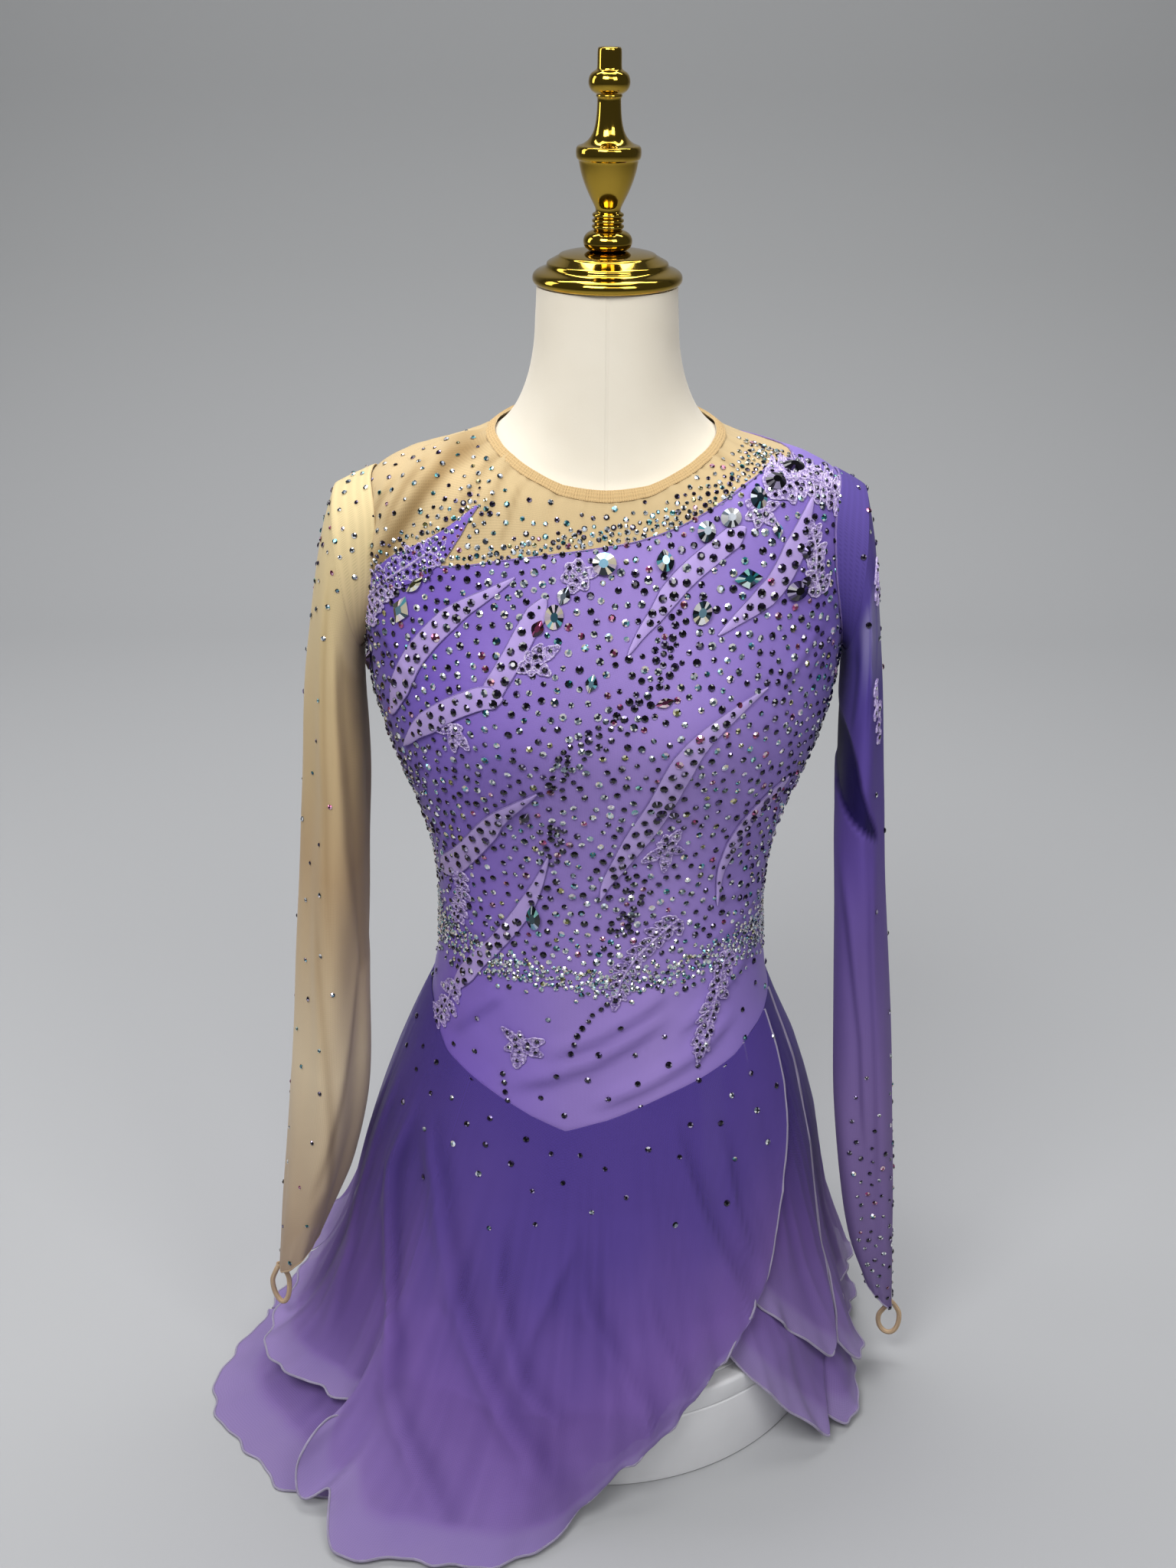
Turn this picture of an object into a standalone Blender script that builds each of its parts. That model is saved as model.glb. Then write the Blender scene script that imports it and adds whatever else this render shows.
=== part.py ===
# Figure skating dress on a limbless dress form that stands on a round plinth.
# Metres, +Z up. The origin is on the form's axis at the plinth's underside, +X is to the
# viewer's right and the dress faces -Y. A turn is the angle round the axis, 0 at the front,
# 90 at the viewer's right. A level runs up the form's rings, one level for each row.
import math

import bmesh
import bpy
from mathutils import Vector

# Cloth and clearances
CLOTH_WALL = 0.0012
BODICE_OUT = 0.0020      # middle of the bodice wall, out from the form
TRIM_WALL = 0.0010
FORM_INSET = 0.0014      # the form's solid lies this far inside the surface the cloth follows
TRIM_OUT = 0.0038        # middle of a strip or motif, out from the form
BAND_OUT = 0.0041
SEAM_GAP = 0.0005
STONE_OUT = 0.0033       # underside of a large stone, out from the form
BAND_WIDTH = 0.006

# The plinth and the fittings at the neck
PLINTH_RADIUS = 0.177
PLINTH_DRUM = 0.0565
PLINTH_TOP = 0.0742
PLINTH_EDGE = 0.003
SEAT_GAP = 0.0003
NECK_TOP = 0.8080

# The form: side, front and back height of each ring, its half width and its two depths
FORM_RINGS = (
    (0.0745, 0.0745, 0.0745, 0.1470, 0.0960, 0.0990),
    (0.1200, 0.1200, 0.1200, 0.1550, 0.1020, 0.1060),
    (0.1650, 0.1650, 0.1650, 0.1580, 0.1040, 0.1080),
    (0.2100, 0.2100, 0.2100, 0.1520, 0.1020, 0.1040),
    (0.2500, 0.2500, 0.2500, 0.1400, 0.0960, 0.0960),
    (0.2900, 0.2900, 0.2900, 0.1260, 0.0900, 0.0870),
    (0.3350, 0.3350, 0.3350, 0.1155, 0.0850, 0.0790),
    (0.3850, 0.3850, 0.3850, 0.1115, 0.0820, 0.0750),
    (0.4300, 0.4300, 0.4300, 0.1150, 0.0850, 0.0800),
    (0.4700, 0.4700, 0.4700, 0.1255, 0.0920, 0.0880),
    (0.5100, 0.5100, 0.5100, 0.1400, 0.1000, 0.0950),
    (0.5500, 0.5500, 0.5500, 0.1505, 0.1060, 0.1000),
    (0.5900, 0.5900, 0.5900, 0.1550, 0.1030, 0.1010),
    (0.6280, 0.6230, 0.6280, 0.1570, 0.0940, 0.0980),
    (0.6600, 0.6500, 0.6600, 0.1570, 0.0840, 0.0910),
    (0.6830, 0.6700, 0.6850, 0.1515, 0.0740, 0.0820),
    (0.6950, 0.6820, 0.7030, 0.1380, 0.0670, 0.0720),
    (0.7020, 0.6900, 0.7160, 0.1140, 0.0610, 0.0620),
    (0.7095, 0.6950, 0.7260, 0.0890, 0.0560, 0.0540),
    (0.7190, 0.7010, 0.7340, 0.0705, 0.0520, 0.0490),
    (0.7320, 0.7150, 0.7440, 0.0585, 0.0475, 0.0460),
    (0.7500, 0.7370, 0.7560, 0.0505, 0.0445, 0.0440),
    (0.7700, 0.7650, 0.7720, 0.0462, 0.0430, 0.0430),
    (0.7900, 0.7890, 0.7900, 0.0448, 0.0425, 0.0425),
    (NECK_TOP, NECK_TOP, NECK_TOP, 0.0440, 0.0425, 0.0425),
)
ROUNDNESS = 2.25
SEARCH_STEPS = 22
BUST_X, BUST_Z, BUST_SPREAD, BUST_RISE = 0.066, 0.548, 0.050, 0.013

# Seams on the form: turn in degrees and height of the hip seam, whose point is off centre
HIP_SEAM = (
    (-90, 0.319), (-76, 0.3105), (-62, 0.287), (-43, 0.271), (-27, 0.257), (-13.4, 0.248),
    (3, 0.2565), (15, 0.265), (28, 0.274), (42, 0.283), (54, 0.2915), (63, 0.3015),
    (75, 0.310), (90, 0.318), (135, 0.302), (180, 0.294), (225, 0.302), (270, 0.319),
)
# Turn in degrees and level of the neckline, the same on both sides
NECKLINE = ((0, 17.6), (25, 17.7), (40, 18.2), (55, 18.65), (70, 18.95), (90, 19.15), (180, 19.2))
# Line where the coloured bodice meets the nude yoke, across the width and up, front and back
YOKE_LINE_FRONT = (
    (-0.155, 0.626), (-0.140, 0.640), (-0.115, 0.648), (-0.088, 0.651), (-0.062, 0.656),
    (-0.023, 0.661), (0.000, 0.664), (0.020, 0.6675), (0.041, 0.674), (0.057, 0.681),
    (0.072, 0.6885), (0.088, 0.6965), (0.100, 0.7015),
)
YOKE_LINE_BACK = (
    (0.090, 0.703), (0.060, 0.694), (0.020, 0.682), (-0.030, 0.670), (-0.080, 0.657),
    (-0.120, 0.644), (-0.150, 0.628),
)
YOKE_SHOULDER_LEVEL = 16.83
# The armhole is an oval of turn and level round each side of the form
ARMHOLE_LEVEL, ARMHOLE_RISE, ARMHOLE_HALF_TURN = 13.55, 1.85, 16.5
SLEEVE_LAP = 0.0015       # how far a sleeve laps over the armhole's edge
SLEEVE_LAP_OUT = 0.0036

# Sleeve sections from the shoulder down: outer x and z, inner x and z, middle y, half depth
SLEEVE_RIGHT = (
    (0.1735, 0.681, 0.1592, 0.574, -0.002, 0.049),
    (0.1815, 0.655, 0.1602, 0.562, -0.003, 0.048),
    (0.1880, 0.620, 0.1600, 0.545, -0.005, 0.047),
    (0.1935, 0.575, 0.1590, 0.523, -0.008, 0.046),
    (0.1975, 0.530, 0.1580, 0.498, -0.011, 0.046),
    (0.2005, 0.480, 0.1580, 0.465, -0.015, 0.046),
    (0.2055, 0.425, 0.1600, 0.420, -0.021, 0.045),
    (0.2110, 0.365, 0.1620, 0.365, -0.028, 0.043),
    (0.2165, 0.305, 0.1635, 0.305, -0.035, 0.040),
    (0.2230, 0.245, 0.1680, 0.245, -0.043, 0.037),
    (0.2285, 0.190, 0.1790, 0.198, -0.050, 0.034),
    (0.2330, 0.150, 0.1900, 0.168, -0.057, 0.028),
    (0.2365, 0.105, 0.2050, 0.134, -0.064, 0.021),
)
SLEEVE_LEFT = (
    (0.1665, 0.683, 0.1592, 0.574, -0.003, 0.047),
    (0.1725, 0.655, 0.1600, 0.562, -0.006, 0.045),
    (0.1775, 0.615, 0.1595, 0.545, -0.010, 0.044),
    (0.1810, 0.575, 0.1585, 0.523, -0.014, 0.044),
    (0.1845, 0.530, 0.1575, 0.498, -0.018, 0.044),
    (0.1880, 0.480, 0.1575, 0.465, -0.022, 0.043),
    (0.1925, 0.425, 0.1597, 0.420, -0.026, 0.042),
    (0.1985, 0.365, 0.1625, 0.365, -0.030, 0.040),
    (0.2055, 0.300, 0.1665, 0.300, -0.033, 0.037),
    (0.2110, 0.235, 0.1710, 0.235, -0.036, 0.034),
    (0.2160, 0.170, 0.1785, 0.175, -0.038, 0.030),
    (0.2205, 0.110, 0.1880, 0.122, -0.040, 0.025),
    (0.2245, 0.055, 0.2020, 0.082, -0.042, 0.018),
)
ELBOW_ROW = 7             # section where a sleeve's upper and lower solids meet
# Finger loops: middle x, y, z, half width and half height of the cord's oval
LOOP_CORD = 0.0020
FINGER_LOOPS = {
    "finger_loop_right": (-0.2365, -0.0640, 0.0857, 0.0062, 0.0170),
    "finger_loop_left": (0.2245, -0.0420, 0.0382, 0.0080, 0.0145),
}

# Radius that the skirt hangs at: height, then front, viewer's right, back, viewer's left
SKIRT_CONE = (
    (0.330, 0.0920, 0.1185, 0.0890, 0.1185),
    (0.300, 0.0955, 0.1290, 0.0940, 0.1295),
    (0.265, 0.1020, 0.1430, 0.1030, 0.1420),
    (0.235, 0.1095, 0.1515, 0.1110, 0.1520),
    (0.200, 0.1205, 0.1600, 0.1220, 0.1630),
    (0.165, 0.1355, 0.1650, 0.1380, 0.1725),
    (0.125, 0.1545, 0.1715, 0.1570, 0.1820),
    (0.080, 0.1815, 0.1840, 0.1840, 0.1960),
    (0.050, 0.1920, 0.1900, 0.1940, 0.2060),
    (0.000, 0.2150, 0.2010, 0.2110, 0.2240),
)
CONE_ROUNDNESS = 2.2
# Each skirt piece: how far it hangs outside the cone, how far its top edge lies out from
# the form, how many cells it has along and down, and its hem. A hem row is the turn where
# the cloth leaves the seam, the turn where it ends, the radius there and the height there.
SKIRT_PIECES = {
    "skirt_front_wrap": (0.0070, 0.0059, 38, 9, (
        (73, 41.5, 0.168, 0.133), (58, 30, 0.180, 0.100), (44, 20.5, 0.188, 0.079),
        (30, 12.5, 0.193, 0.058), (17, 4, 0.200, 0.035), (6, -3, 0.214, 0.014),
        (-4, -8, 0.236, 0.0055), (-12, -15, 0.257, 0.0052), (-20, -23, 0.272, 0.0052),
        (-27, -30, 0.287, 0.0052), (-32, -35, 0.303, 0.0052), (-36, -38.5, 0.293, 0.008),
        (-39, -42.5, 0.272, 0.020), (-41.5, -45.5, 0.281, 0.011), (-44, -48.5, 0.280, 0.022),
        (-46.5, -49.5, 0.268, 0.036), (-49, -50, 0.248, 0.045), (-51, -48, 0.232, 0.047),
        (-53.5, -45.6, 0.217, 0.053), (-56, -45.4, 0.209, 0.064), (-59, -50, 0.225, 0.047),
        (-63, -55, 0.236, 0.044), (-67, -60, 0.246, 0.044), (-72, -66, 0.257, 0.044),
        (-77, -71, 0.257, 0.045), (-82, -77, 0.250, 0.048), (-86, -83, 0.240, 0.054),
        (-89.8, -89.8, 0.228, 0.064))),
    "skirt_front_under": (-0.0030, 0.0006, 20, 8, (
        (40, 20, 0.172, 0.090), (28, 12.5, 0.184, 0.064), (16, 4, 0.191, 0.045),
        (5, -5, 0.199, 0.026), (-6, -13, 0.209, 0.0125), (-17, -22, 0.222, 0.0014),
        (-27, -31, 0.234, 0.0014), (-36, -39, 0.243, 0.0014), (-43, -46, 0.268, 0.0014),
        (-49, -51, 0.288, 0.0014), (-55, -57, 0.294, 0.0014), (-62, -63, 0.2985, 0.0014),
        (-70, -70, 0.299, 0.0014), (-78, -77, 0.293, 0.0014), (-84, -84, 0.281, 0.0014),
        (-89.8, -90.8, 0.262, 0.0014))),
    "skirt_side_upper": (0.0020, 0.0030, 7, 8, (
        (59, 36, 0.153, 0.150), (64, 42, 0.166, 0.123), (69, 47, 0.178, 0.103),
        (73, 51.5, 0.188, 0.085), (77, 55, 0.198, 0.070), (80, 58.5, 0.206, 0.058),
        (82.5, 60.5, 0.197, 0.064))),
    "skirt_side_lower": (-0.0030, 0.0006, 9, 8, (
        (50, 28, 0.158, 0.112), (56, 32.5, 0.166, 0.093), (62, 36, 0.177, 0.078),
        (67, 39, 0.188, 0.063), (72, 42, 0.197, 0.049), (76, 45.5, 0.207, 0.034),
        (79, 48.5, 0.217, 0.021), (81.5, 51, 0.223, 0.012), (83, 52.5, 0.205, 0.018))),
    "skirt_back_upper": (0.0020, 0.0030, 40, 7, (
        (83.2, 61.4, 0.199, 0.062), (85, 64.5, 0.212, 0.044), (88, 69.5, 0.209, 0.042),
        (93, 78, 0.194, 0.056), (101, 90, 0.196, 0.059), (111, 103, 0.198, 0.057),
        (122, 116, 0.198, 0.058), (134, 130, 0.198, 0.060), (147, 145, 0.198, 0.062),
        (160, 159, 0.198, 0.064), (174, 174, 0.198, 0.066), (188, 188, 0.198, 0.068),
        (202, 202, 0.198, 0.070), (216, 216, 0.201, 0.072), (230, 231, 0.206, 0.073),
        (244, 245, 0.213, 0.070), (257, 258, 0.221, 0.067), (269.8, 269.8, 0.228, 0.064))),
    "skirt_back_lower": (-0.0030, 0.0006, 40, 7, (
        (83.8, 53.5, 0.200, 0.020), (86, 57, 0.224, 0.007), (90, 63, 0.216, 0.010),
        (96, 73, 0.200, 0.019), (104, 86, 0.200, 0.019), (114, 100, 0.203, 0.016),
        (125, 114, 0.205, 0.016), (137, 128, 0.206, 0.018), (150, 144, 0.206, 0.020),
        (163, 159, 0.206, 0.022), (177, 174, 0.206, 0.024), (191, 189, 0.206, 0.026),
        (205, 204, 0.207, 0.026), (219, 219, 0.211, 0.024), (232, 233, 0.218, 0.018),
        (245, 247, 0.229, 0.010), (258, 259, 0.243, 0.004), (269.8, 268.8, 0.262, 0.0014))),
}
# Folds that run down the whole skirt: how many go round it, the turn of one fold's ridge,
# and how deep they are at the floor in front and at the back
FOLD_COUNT, FOLD_TURN = 13, -44
FOLD_DEPTH_FRONT, FOLD_DEPTH_BACK = 0.0035, 0.0080
FOLD_START = 0.29
TABLE_HEM = 0.0014        # height of the cloth's middle where the tail lies on the table
SKIRT_DROP_POWER = 1.45
SKIRT_FLARE_POWER = 5
SKIRT_SEAM_DROP = 0.0016

STRIP_CELL = 0.012
# Flame-shaped strips on the front: greatest width, then the middle line across and up
STRIPS = {
    "strip_a": (0.012, ((-0.055, 0.646), (-0.074, 0.632), (-0.091, 0.620), (-0.108, 0.603),
                        (-0.121, 0.583), (-0.131, 0.560), (-0.136, 0.540))),
    "strip_b": (0.009, ((-0.037, 0.633), (-0.044, 0.624), (-0.052, 0.611), (-0.061, 0.599),
                        (-0.068, 0.586))),
    "strip_c": (0.010, ((0.016, 0.606), (0.027, 0.620), (0.038, 0.633), (0.050, 0.646),
                        (0.062, 0.657), (0.074, 0.666))),
    "strip_d": (0.012, ((0.122, 0.673), (0.118, 0.665), (0.112, 0.655), (0.101, 0.640),
                        (0.087, 0.626), (0.069, 0.615))),
    "strip_e": (0.012, ((0.101, 0.576), (0.082, 0.567), (0.058, 0.546), (0.044, 0.518),
                        (0.031, 0.490), (0.012, 0.460), (0.001, 0.425))),
    "strip_f": (0.007, ((0.118, 0.500), (0.107, 0.488), (0.093, 0.473), (0.084, 0.453),
                        (0.079, 0.432), (0.077, 0.411))),
    "strip_g": (0.010, ((-0.044, 0.509), (-0.062, 0.487), (-0.078, 0.462), (-0.095, 0.436),
                        (-0.110, 0.405))),
    "strip_h": (0.008, ((-0.035, 0.459), (-0.043, 0.433), (-0.057, 0.404), (-0.073, 0.380),
                        (-0.089, 0.355), (-0.101, 0.336))),
    "strip_i": (0.010, ((-0.071, 0.572), (-0.085, 0.568), (-0.105, 0.557), (-0.119, 0.541),
                        (-0.129, 0.520))),
    "flame_spike": (0.014, ((-0.077, 0.694), (-0.084, 0.682), (-0.094, 0.669), (-0.106, 0.657),
                            (-0.118, 0.643))),
}
# A long motif's flat cells cut inside the form's curve, so it is lifted for this radius
MOTIF_BEND = 0.10
# Lace motifs: across, up, half length, half width, tilt in degrees, petals
MOTIFS = {
    "motif_shoulder": (0.118, 0.6870, 0.011, 0.007, -30, 5),
    "motif_chest_left": (0.096, 0.6800, 0.012, 0.008, 65, 4),
    "motif_neckline": (-0.016, 0.6500, 0.011, 0.010, 30, 5),
    "motif_armhole": (-0.136, 0.5980, 0.012, 0.008, 70, 5),
    "motif_butterfly": (-0.027, 0.6010, 0.010, 0.009, 10, 4),
    "motif_three_petal": (-0.092, 0.5440, 0.011, 0.010, 80, 3),
    "motif_waist_middle": (0.046, 0.4660, 0.015, 0.011, 50, 4),
    "motif_waist_side": (-0.098, 0.4120, 0.012, 0.006, 80, 3),
    "motif_belt": (0.038, 0.3940, 0.017, 0.010, 20, 5),
    "motif_hip_left": (0.078, 0.3310, 0.024, 0.011, 68, 5),
    "motif_hip_right": (-0.109, 0.3230, 0.012, 0.006, 70, 3),
    "motif_hip_middle": (-0.053, 0.3100, 0.014, 0.011, 35, 4),
}
# Large set stones: across, up, half length, half width, tilt in degrees, height
STONES = {
    "stone_round": (0.004, 0.6560, 0.0060, 0.0060, 0, 0.0040),
    "stone_pear": (0.034, 0.6605, 0.0065, 0.0050, 90, 0.0038),
    "stone_rhombus": (0.083, 0.6470, 0.0075, 0.0048, 0, 0.0036),
    "stone_oval_chest": (0.059, 0.6260, 0.0065, 0.0055, 80, 0.0038),
    "stone_teal": (-0.030, 0.6260, 0.0065, 0.0052, 80, 0.0038),
    "stone_blue": (-0.122, 0.6240, 0.0070, 0.0055, 70, 0.0036),
    "stone_dark": (0.120, 0.6330, 0.0070, 0.0040, 20, 0.0034),
    "stone_waist": (-0.040, 0.4100, 0.0075, 0.0040, 90, 0.0036),
}
STONE_SIDES = 8
STONE_TABLE = 0.55

# Turned profiles up the form's axis, radius and height
NECK_PLATE_PROFILE = (
    (0.0395, 0.8083), (0.0448, 0.8090), (0.0462, 0.8115), (0.0450, 0.8140), (0.0395, 0.8165),
    (0.0375, 0.8190), (0.0368, 0.8215), (0.0310, 0.8245), (0.0230, 0.8268), (0.0160, 0.8280),
)
FINIAL_PROFILE = (
    (0.0120, 0.8283), (0.0150, 0.8305), (0.0155, 0.8345), (0.0125, 0.8385), (0.0098, 0.8400),
    (0.0102, 0.8440), (0.0088, 0.8480), (0.0080, 0.8515), (0.0110, 0.8600), (0.0155, 0.8700),
    (0.0180, 0.8805), (0.0198, 0.8820), (0.0200, 0.8860), (0.0170, 0.8890), (0.0105, 0.8960),
    (0.0074, 0.9060), (0.0072, 0.9165), (0.0095, 0.9185), (0.0126, 0.9215), (0.0126, 0.9265),
    (0.0090, 0.9305), (0.0073, 0.9325), (0.0073, 0.9420), (0.0058, 0.9435),
)

COLOURS = {
    "nude_mesh": (0.73, 0.56, 0.34, 0.75, 0.0),
    "lilac_jersey": (0.28, 0.14, 0.60, 0.70, 0.0),
    "violet_mesh": (0.10, 0.05, 0.38, 0.75, 0.0),
    "chiffon": (0.16, 0.08, 0.46, 0.80, 0.0),
    "strip_satin": (0.50, 0.38, 0.75, 0.55, 0.0),
    "lace": (0.55, 0.45, 0.78, 0.70, 0.0),
    "crystal": (0.60, 0.75, 0.80, 0.10, 0.3),
    "form_linen": (0.75, 0.69, 0.58, 0.90, 0.0),
    "gold_metal": (0.75, 0.52, 0.15, 0.15, 1.0),
    "plinth_plastic": (0.80, 0.80, 0.80, 0.45, 0.0),
}


def catmull(a, b, c, d, t):
    return b + 0.5*t*(c - a + t*(2*a - 5*b + 4*c - d + t*(3*(b - c) + d - a)))


def smooth_row(rows, position):
    """Row of a table at a position between its rows, through a smooth curve."""
    last = len(rows) - 1
    k = min(max(math.floor(position), 0), last - 1)
    near = [rows[min(max(k + step, 0), last)] for step in (-1, 0, 1, 2)]
    return [catmull(*column, position - k) for column in zip(*near)]


def straight_row(rows, key):
    """Values of a table at a key in its first column, joined by straight lines."""
    for low, high in zip(rows, rows[1:]):
        if min(low[0], high[0]) <= key <= max(low[0], high[0]):
            t = (key - low[0])/(high[0] - low[0])
            return [a + (b - a)*t for a, b in zip(low[1:], high[1:])]
    return list(rows[0][1:]) if abs(key - rows[0][0]) < abs(key - rows[-1][0]) else list(rows[-1][1:])


def oval_reach(turn, half_width, depth, roundness):
    across, along = abs(math.sin(turn)/half_width), abs(math.cos(turn)/depth)
    return (across**roundness + along**roundness)**(-1/roundness)


def bare_point(turn, level):
    z_side, z_front, z_back, half_width, front, back = smooth_row(FORM_RINGS, level)
    s, c = math.sin(turn), math.cos(turn)
    reach = oval_reach(turn, half_width, front if c > 0 else back, ROUNDNESS)
    x, y = reach*s, -reach*c
    z = z_side + ((z_front if c > 0 else z_back) - z_side)*c*c
    if c > 0:
        for side in (-1, 1):
            away = ((x - side*BUST_X)**2 + (z - BUST_Z)**2)/BUST_SPREAD**2
            y -= BUST_RISE*c*math.exp(-away)
    return Vector((x, y, z))


def form_normal(turn, level, step=1e-3):
    around = bare_point(turn + step, level) - bare_point(turn - step, level)
    upward = bare_point(turn, level + step) - bare_point(turn, level - step)
    return around.cross(upward).normalized()


def form_point(turn, level, out=0.0):
    return bare_point(turn, level) + form_normal(turn, level)*out


def level_at(turn, z):
    """Level where the form has the height z at this turn."""
    low, high = 0.0, len(FORM_RINGS) - 1.0
    for _ in range(SEARCH_STEPS):
        middle = (low + high)/2
        low, high = (middle, high) if bare_point(turn, middle).z < z else (low, middle)
    return low


def place(x, z, back=False):
    """Turn and level of the point of the form's front or back at this width and height."""
    low, high = 0.0, math.pi/2
    for _ in range(SEARCH_STEPS):
        angle = math.copysign((low + high)/2, x)
        turn = math.pi - angle if back else angle
        level = level_at(turn, z)
        inside = abs(bare_point(turn, level).x) < abs(x)
        low, high = (abs(angle), high) if inside else (low, abs(angle))
    return turn, level


def resample(line, count):
    """Points spread evenly along a line of points of any length."""
    lengths = [0.0]
    for a, b in zip(line, line[1:]):
        lengths.append(lengths[-1] + math.dist(a, b))
    result = []
    for i in range(count + 1):
        goal = lengths[-1]*i/count
        k = max(j for j in range(len(line) - 1) if lengths[j] <= goal + 1e-12)
        span = lengths[k + 1] - lengths[k]
        t = 0.0 if span == 0 else (goal - lengths[k])/span
        result.append(tuple(a + (b - a)*t for a, b in zip(line[k], line[k + 1])))
    return result


def coons(bottom, top, left, right):
    """Grid of turn and level inside four lines. bottom and top run left to right."""
    columns, rows = len(bottom) - 1, len(left) - 1
    grid = []
    for j in range(rows + 1):
        v = j/rows
        line = []
        for i in range(columns + 1):
            u = i/columns
            point = []
            for axis in (0, 1):
                across = (1 - u)*left[j][axis] + u*right[j][axis]
                along = (1 - v)*bottom[i][axis] + v*top[i][axis]
                corners = ((1 - u)*(1 - v)*bottom[0][axis] + u*(1 - v)*bottom[-1][axis]
                           + (1 - u)*v*top[0][axis] + u*v*top[-1][axis])
                point.append(across + along - corners)
            line.append(tuple(point))
        grid.append(line)
    return grid


def pull_in(grid, gap):
    """Move the four edges of a grid of points square to themselves, to leave a seam gap."""
    rows, columns = len(grid) - 1, len(grid[0]) - 1

    def shift(j, i, inner, before, after):
        along = (grid[after[0]][after[1]] - grid[before[0]][before[1]]).normalized()
        step = grid[inner[0]][inner[1]] - grid[j][i]
        return (step - along*step.dot(along)).normalized()*gap

    moved = [list(line) for line in grid]
    for j in range(rows + 1):
        low, high = max(j - 1, 0), min(j + 1, rows)
        for i, inner in ((0, 1), (columns, columns - 1)):
            moved[j][i] = moved[j][i] + shift(j, i, (j, inner), (low, i), (high, i))
    for i in range(columns + 1):
        low, high = max(i - 1, 0), min(i + 1, columns)
        for j, inner in ((0, 1), (rows, rows - 1)):
            moved[j][i] = moved[j][i] + shift(j, i, (inner, i), (j, low), (j, high))
    return moved


def make_material(name):
    red, green, blue, roughness, metallic = COLOURS[name]
    material = bpy.data.materials.get(name)
    if material is None:
        material = bpy.data.materials.new(name)
        material.use_nodes = True
        shader = material.node_tree.nodes["Principled BSDF"]
        shader.inputs["Base Color"].default_value = (red, green, blue, 1.0)
        shader.inputs["Roughness"].default_value = roughness
        shader.inputs["Metallic"].default_value = metallic
    return material


def add_object(name, points, faces, material, sharp_angle=40):
    mesh = bpy.data.meshes.new(name)
    mesh.from_pydata([tuple(point) for point in points], [], faces)
    bm = bmesh.new()
    bm.from_mesh(mesh)
    bmesh.ops.recalc_face_normals(bm, faces=bm.faces)
    bm.to_mesh(mesh)
    bm.free()
    mesh.polygons.foreach_set("use_smooth", [True]*len(mesh.polygons))
    mesh.set_sharp_from_angle(angle=math.radians(sharp_angle))
    mesh.materials.append(make_material(material))
    piece = bpy.data.objects.new(name, mesh)
    bpy.context.scene.collection.objects.link(piece)
    return piece


def add_cloth(name, grid, material, wall=CLOTH_WALL, closed=False):
    """Sheet from a grid of points, thickened to both sides. closed joins its last column."""
    columns = len(grid[0])
    points = [point for line in grid for point in line]
    faces = []
    for j in range(len(grid) - 1):
        for i in range(columns if closed else columns - 1):
            k = (i + 1) % columns
            faces.append((j*columns + i, j*columns + k, (j + 1)*columns + k, (j + 1)*columns + i))
    piece = add_object(name, points, faces, material)
    solidify = piece.modifiers.new("wall", "SOLIDIFY")
    solidify.thickness = wall
    solidify.offset = 0.0
    return piece


def add_turned(name, profile, sides, material):
    """Solid of revolution about the form's axis, closed at both ends."""
    points, faces = [], []
    for radius, z in profile:
        for i in range(sides):
            angle = 2*math.pi*i/sides
            points.append((radius*math.cos(angle), radius*math.sin(angle), z))
    for j in range(len(profile) - 1):
        for i in range(sides):
            k = (i + 1) % sides
            faces.append((j*sides + i, j*sides + k, (j + 1)*sides + k, (j + 1)*sides + i))
    faces.append(tuple(range(sides)))
    faces.append(tuple(range((len(profile) - 1)*sides, len(profile)*sides)))
    return add_object(name, points, faces, material, sharp_angle=35)


def build_form():
    """Torso and neck, one closed solid with flat ends."""
    sides = 24
    levels = []
    for k in range(len(FORM_RINGS) - 1):
        levels += [k, k + 0.5] if 5 <= k <= 12 else [k]
    levels.append(len(FORM_RINGS) - 1)
    points, faces = [], []
    for level in levels:
        points += [form_point(2*math.pi*i/sides, level, -FORM_INSET) for i in range(sides)]
    for j in range(len(levels) - 1):
        for i in range(sides):
            k = (i + 1) % sides
            faces.append((j*sides + i, j*sides + k, (j + 1)*sides + k, (j + 1)*sides + i))
    faces.append(tuple(range(sides)))
    faces.append(tuple(range((len(levels) - 1)*sides, len(levels)*sides)))
    add_object("dress_form", points, faces, "form_linen")


def build_stand():
    edge = PLINTH_EDGE
    drum = ((PLINTH_RADIUS - edge, 0.0), (PLINTH_RADIUS, edge), (PLINTH_RADIUS, PLINTH_DRUM),
            (PLINTH_RADIUS - edge, PLINTH_DRUM + edge/3))
    low = PLINTH_DRUM + edge/3 + SEAT_GAP
    disc = ((PLINTH_RADIUS - edge, low), (PLINTH_RADIUS, low + edge/3),
            (PLINTH_RADIUS, PLINTH_TOP - edge), (PLINTH_RADIUS - edge, PLINTH_TOP))
    add_turned("plinth_drum", drum, 40, "plinth_plastic")
    add_turned("plinth_disc", disc, 40, "plinth_plastic")
    add_turned("neck_plate", NECK_PLATE_PROFILE, 24, "gold_metal")
    add_turned("finial", FINIAL_PROFILE, 14, "gold_metal")


def armhole_point(side, angle):
    """Turn and level on the armhole: angle 0 at the shoulder, 90 at its front edge."""
    turn = math.radians(90 - ARMHOLE_HALF_TURN*math.sin(angle))
    return side*turn, ARMHOLE_LEVEL + ARMHOLE_RISE*math.cos(angle)


def armhole_line(side, start, end, back=False, count=12):
    line = []
    for i in range(count + 1):
        angle = math.radians(start + (end - start)*i/count)
        turn, level = armhole_point(side, -angle if back else angle)
        line.append((turn, level))
    return line


def around(turn):
    """The same turn, counted from the viewer's right round the back."""
    return turn if turn > 0 else turn + 2*math.pi


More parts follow.
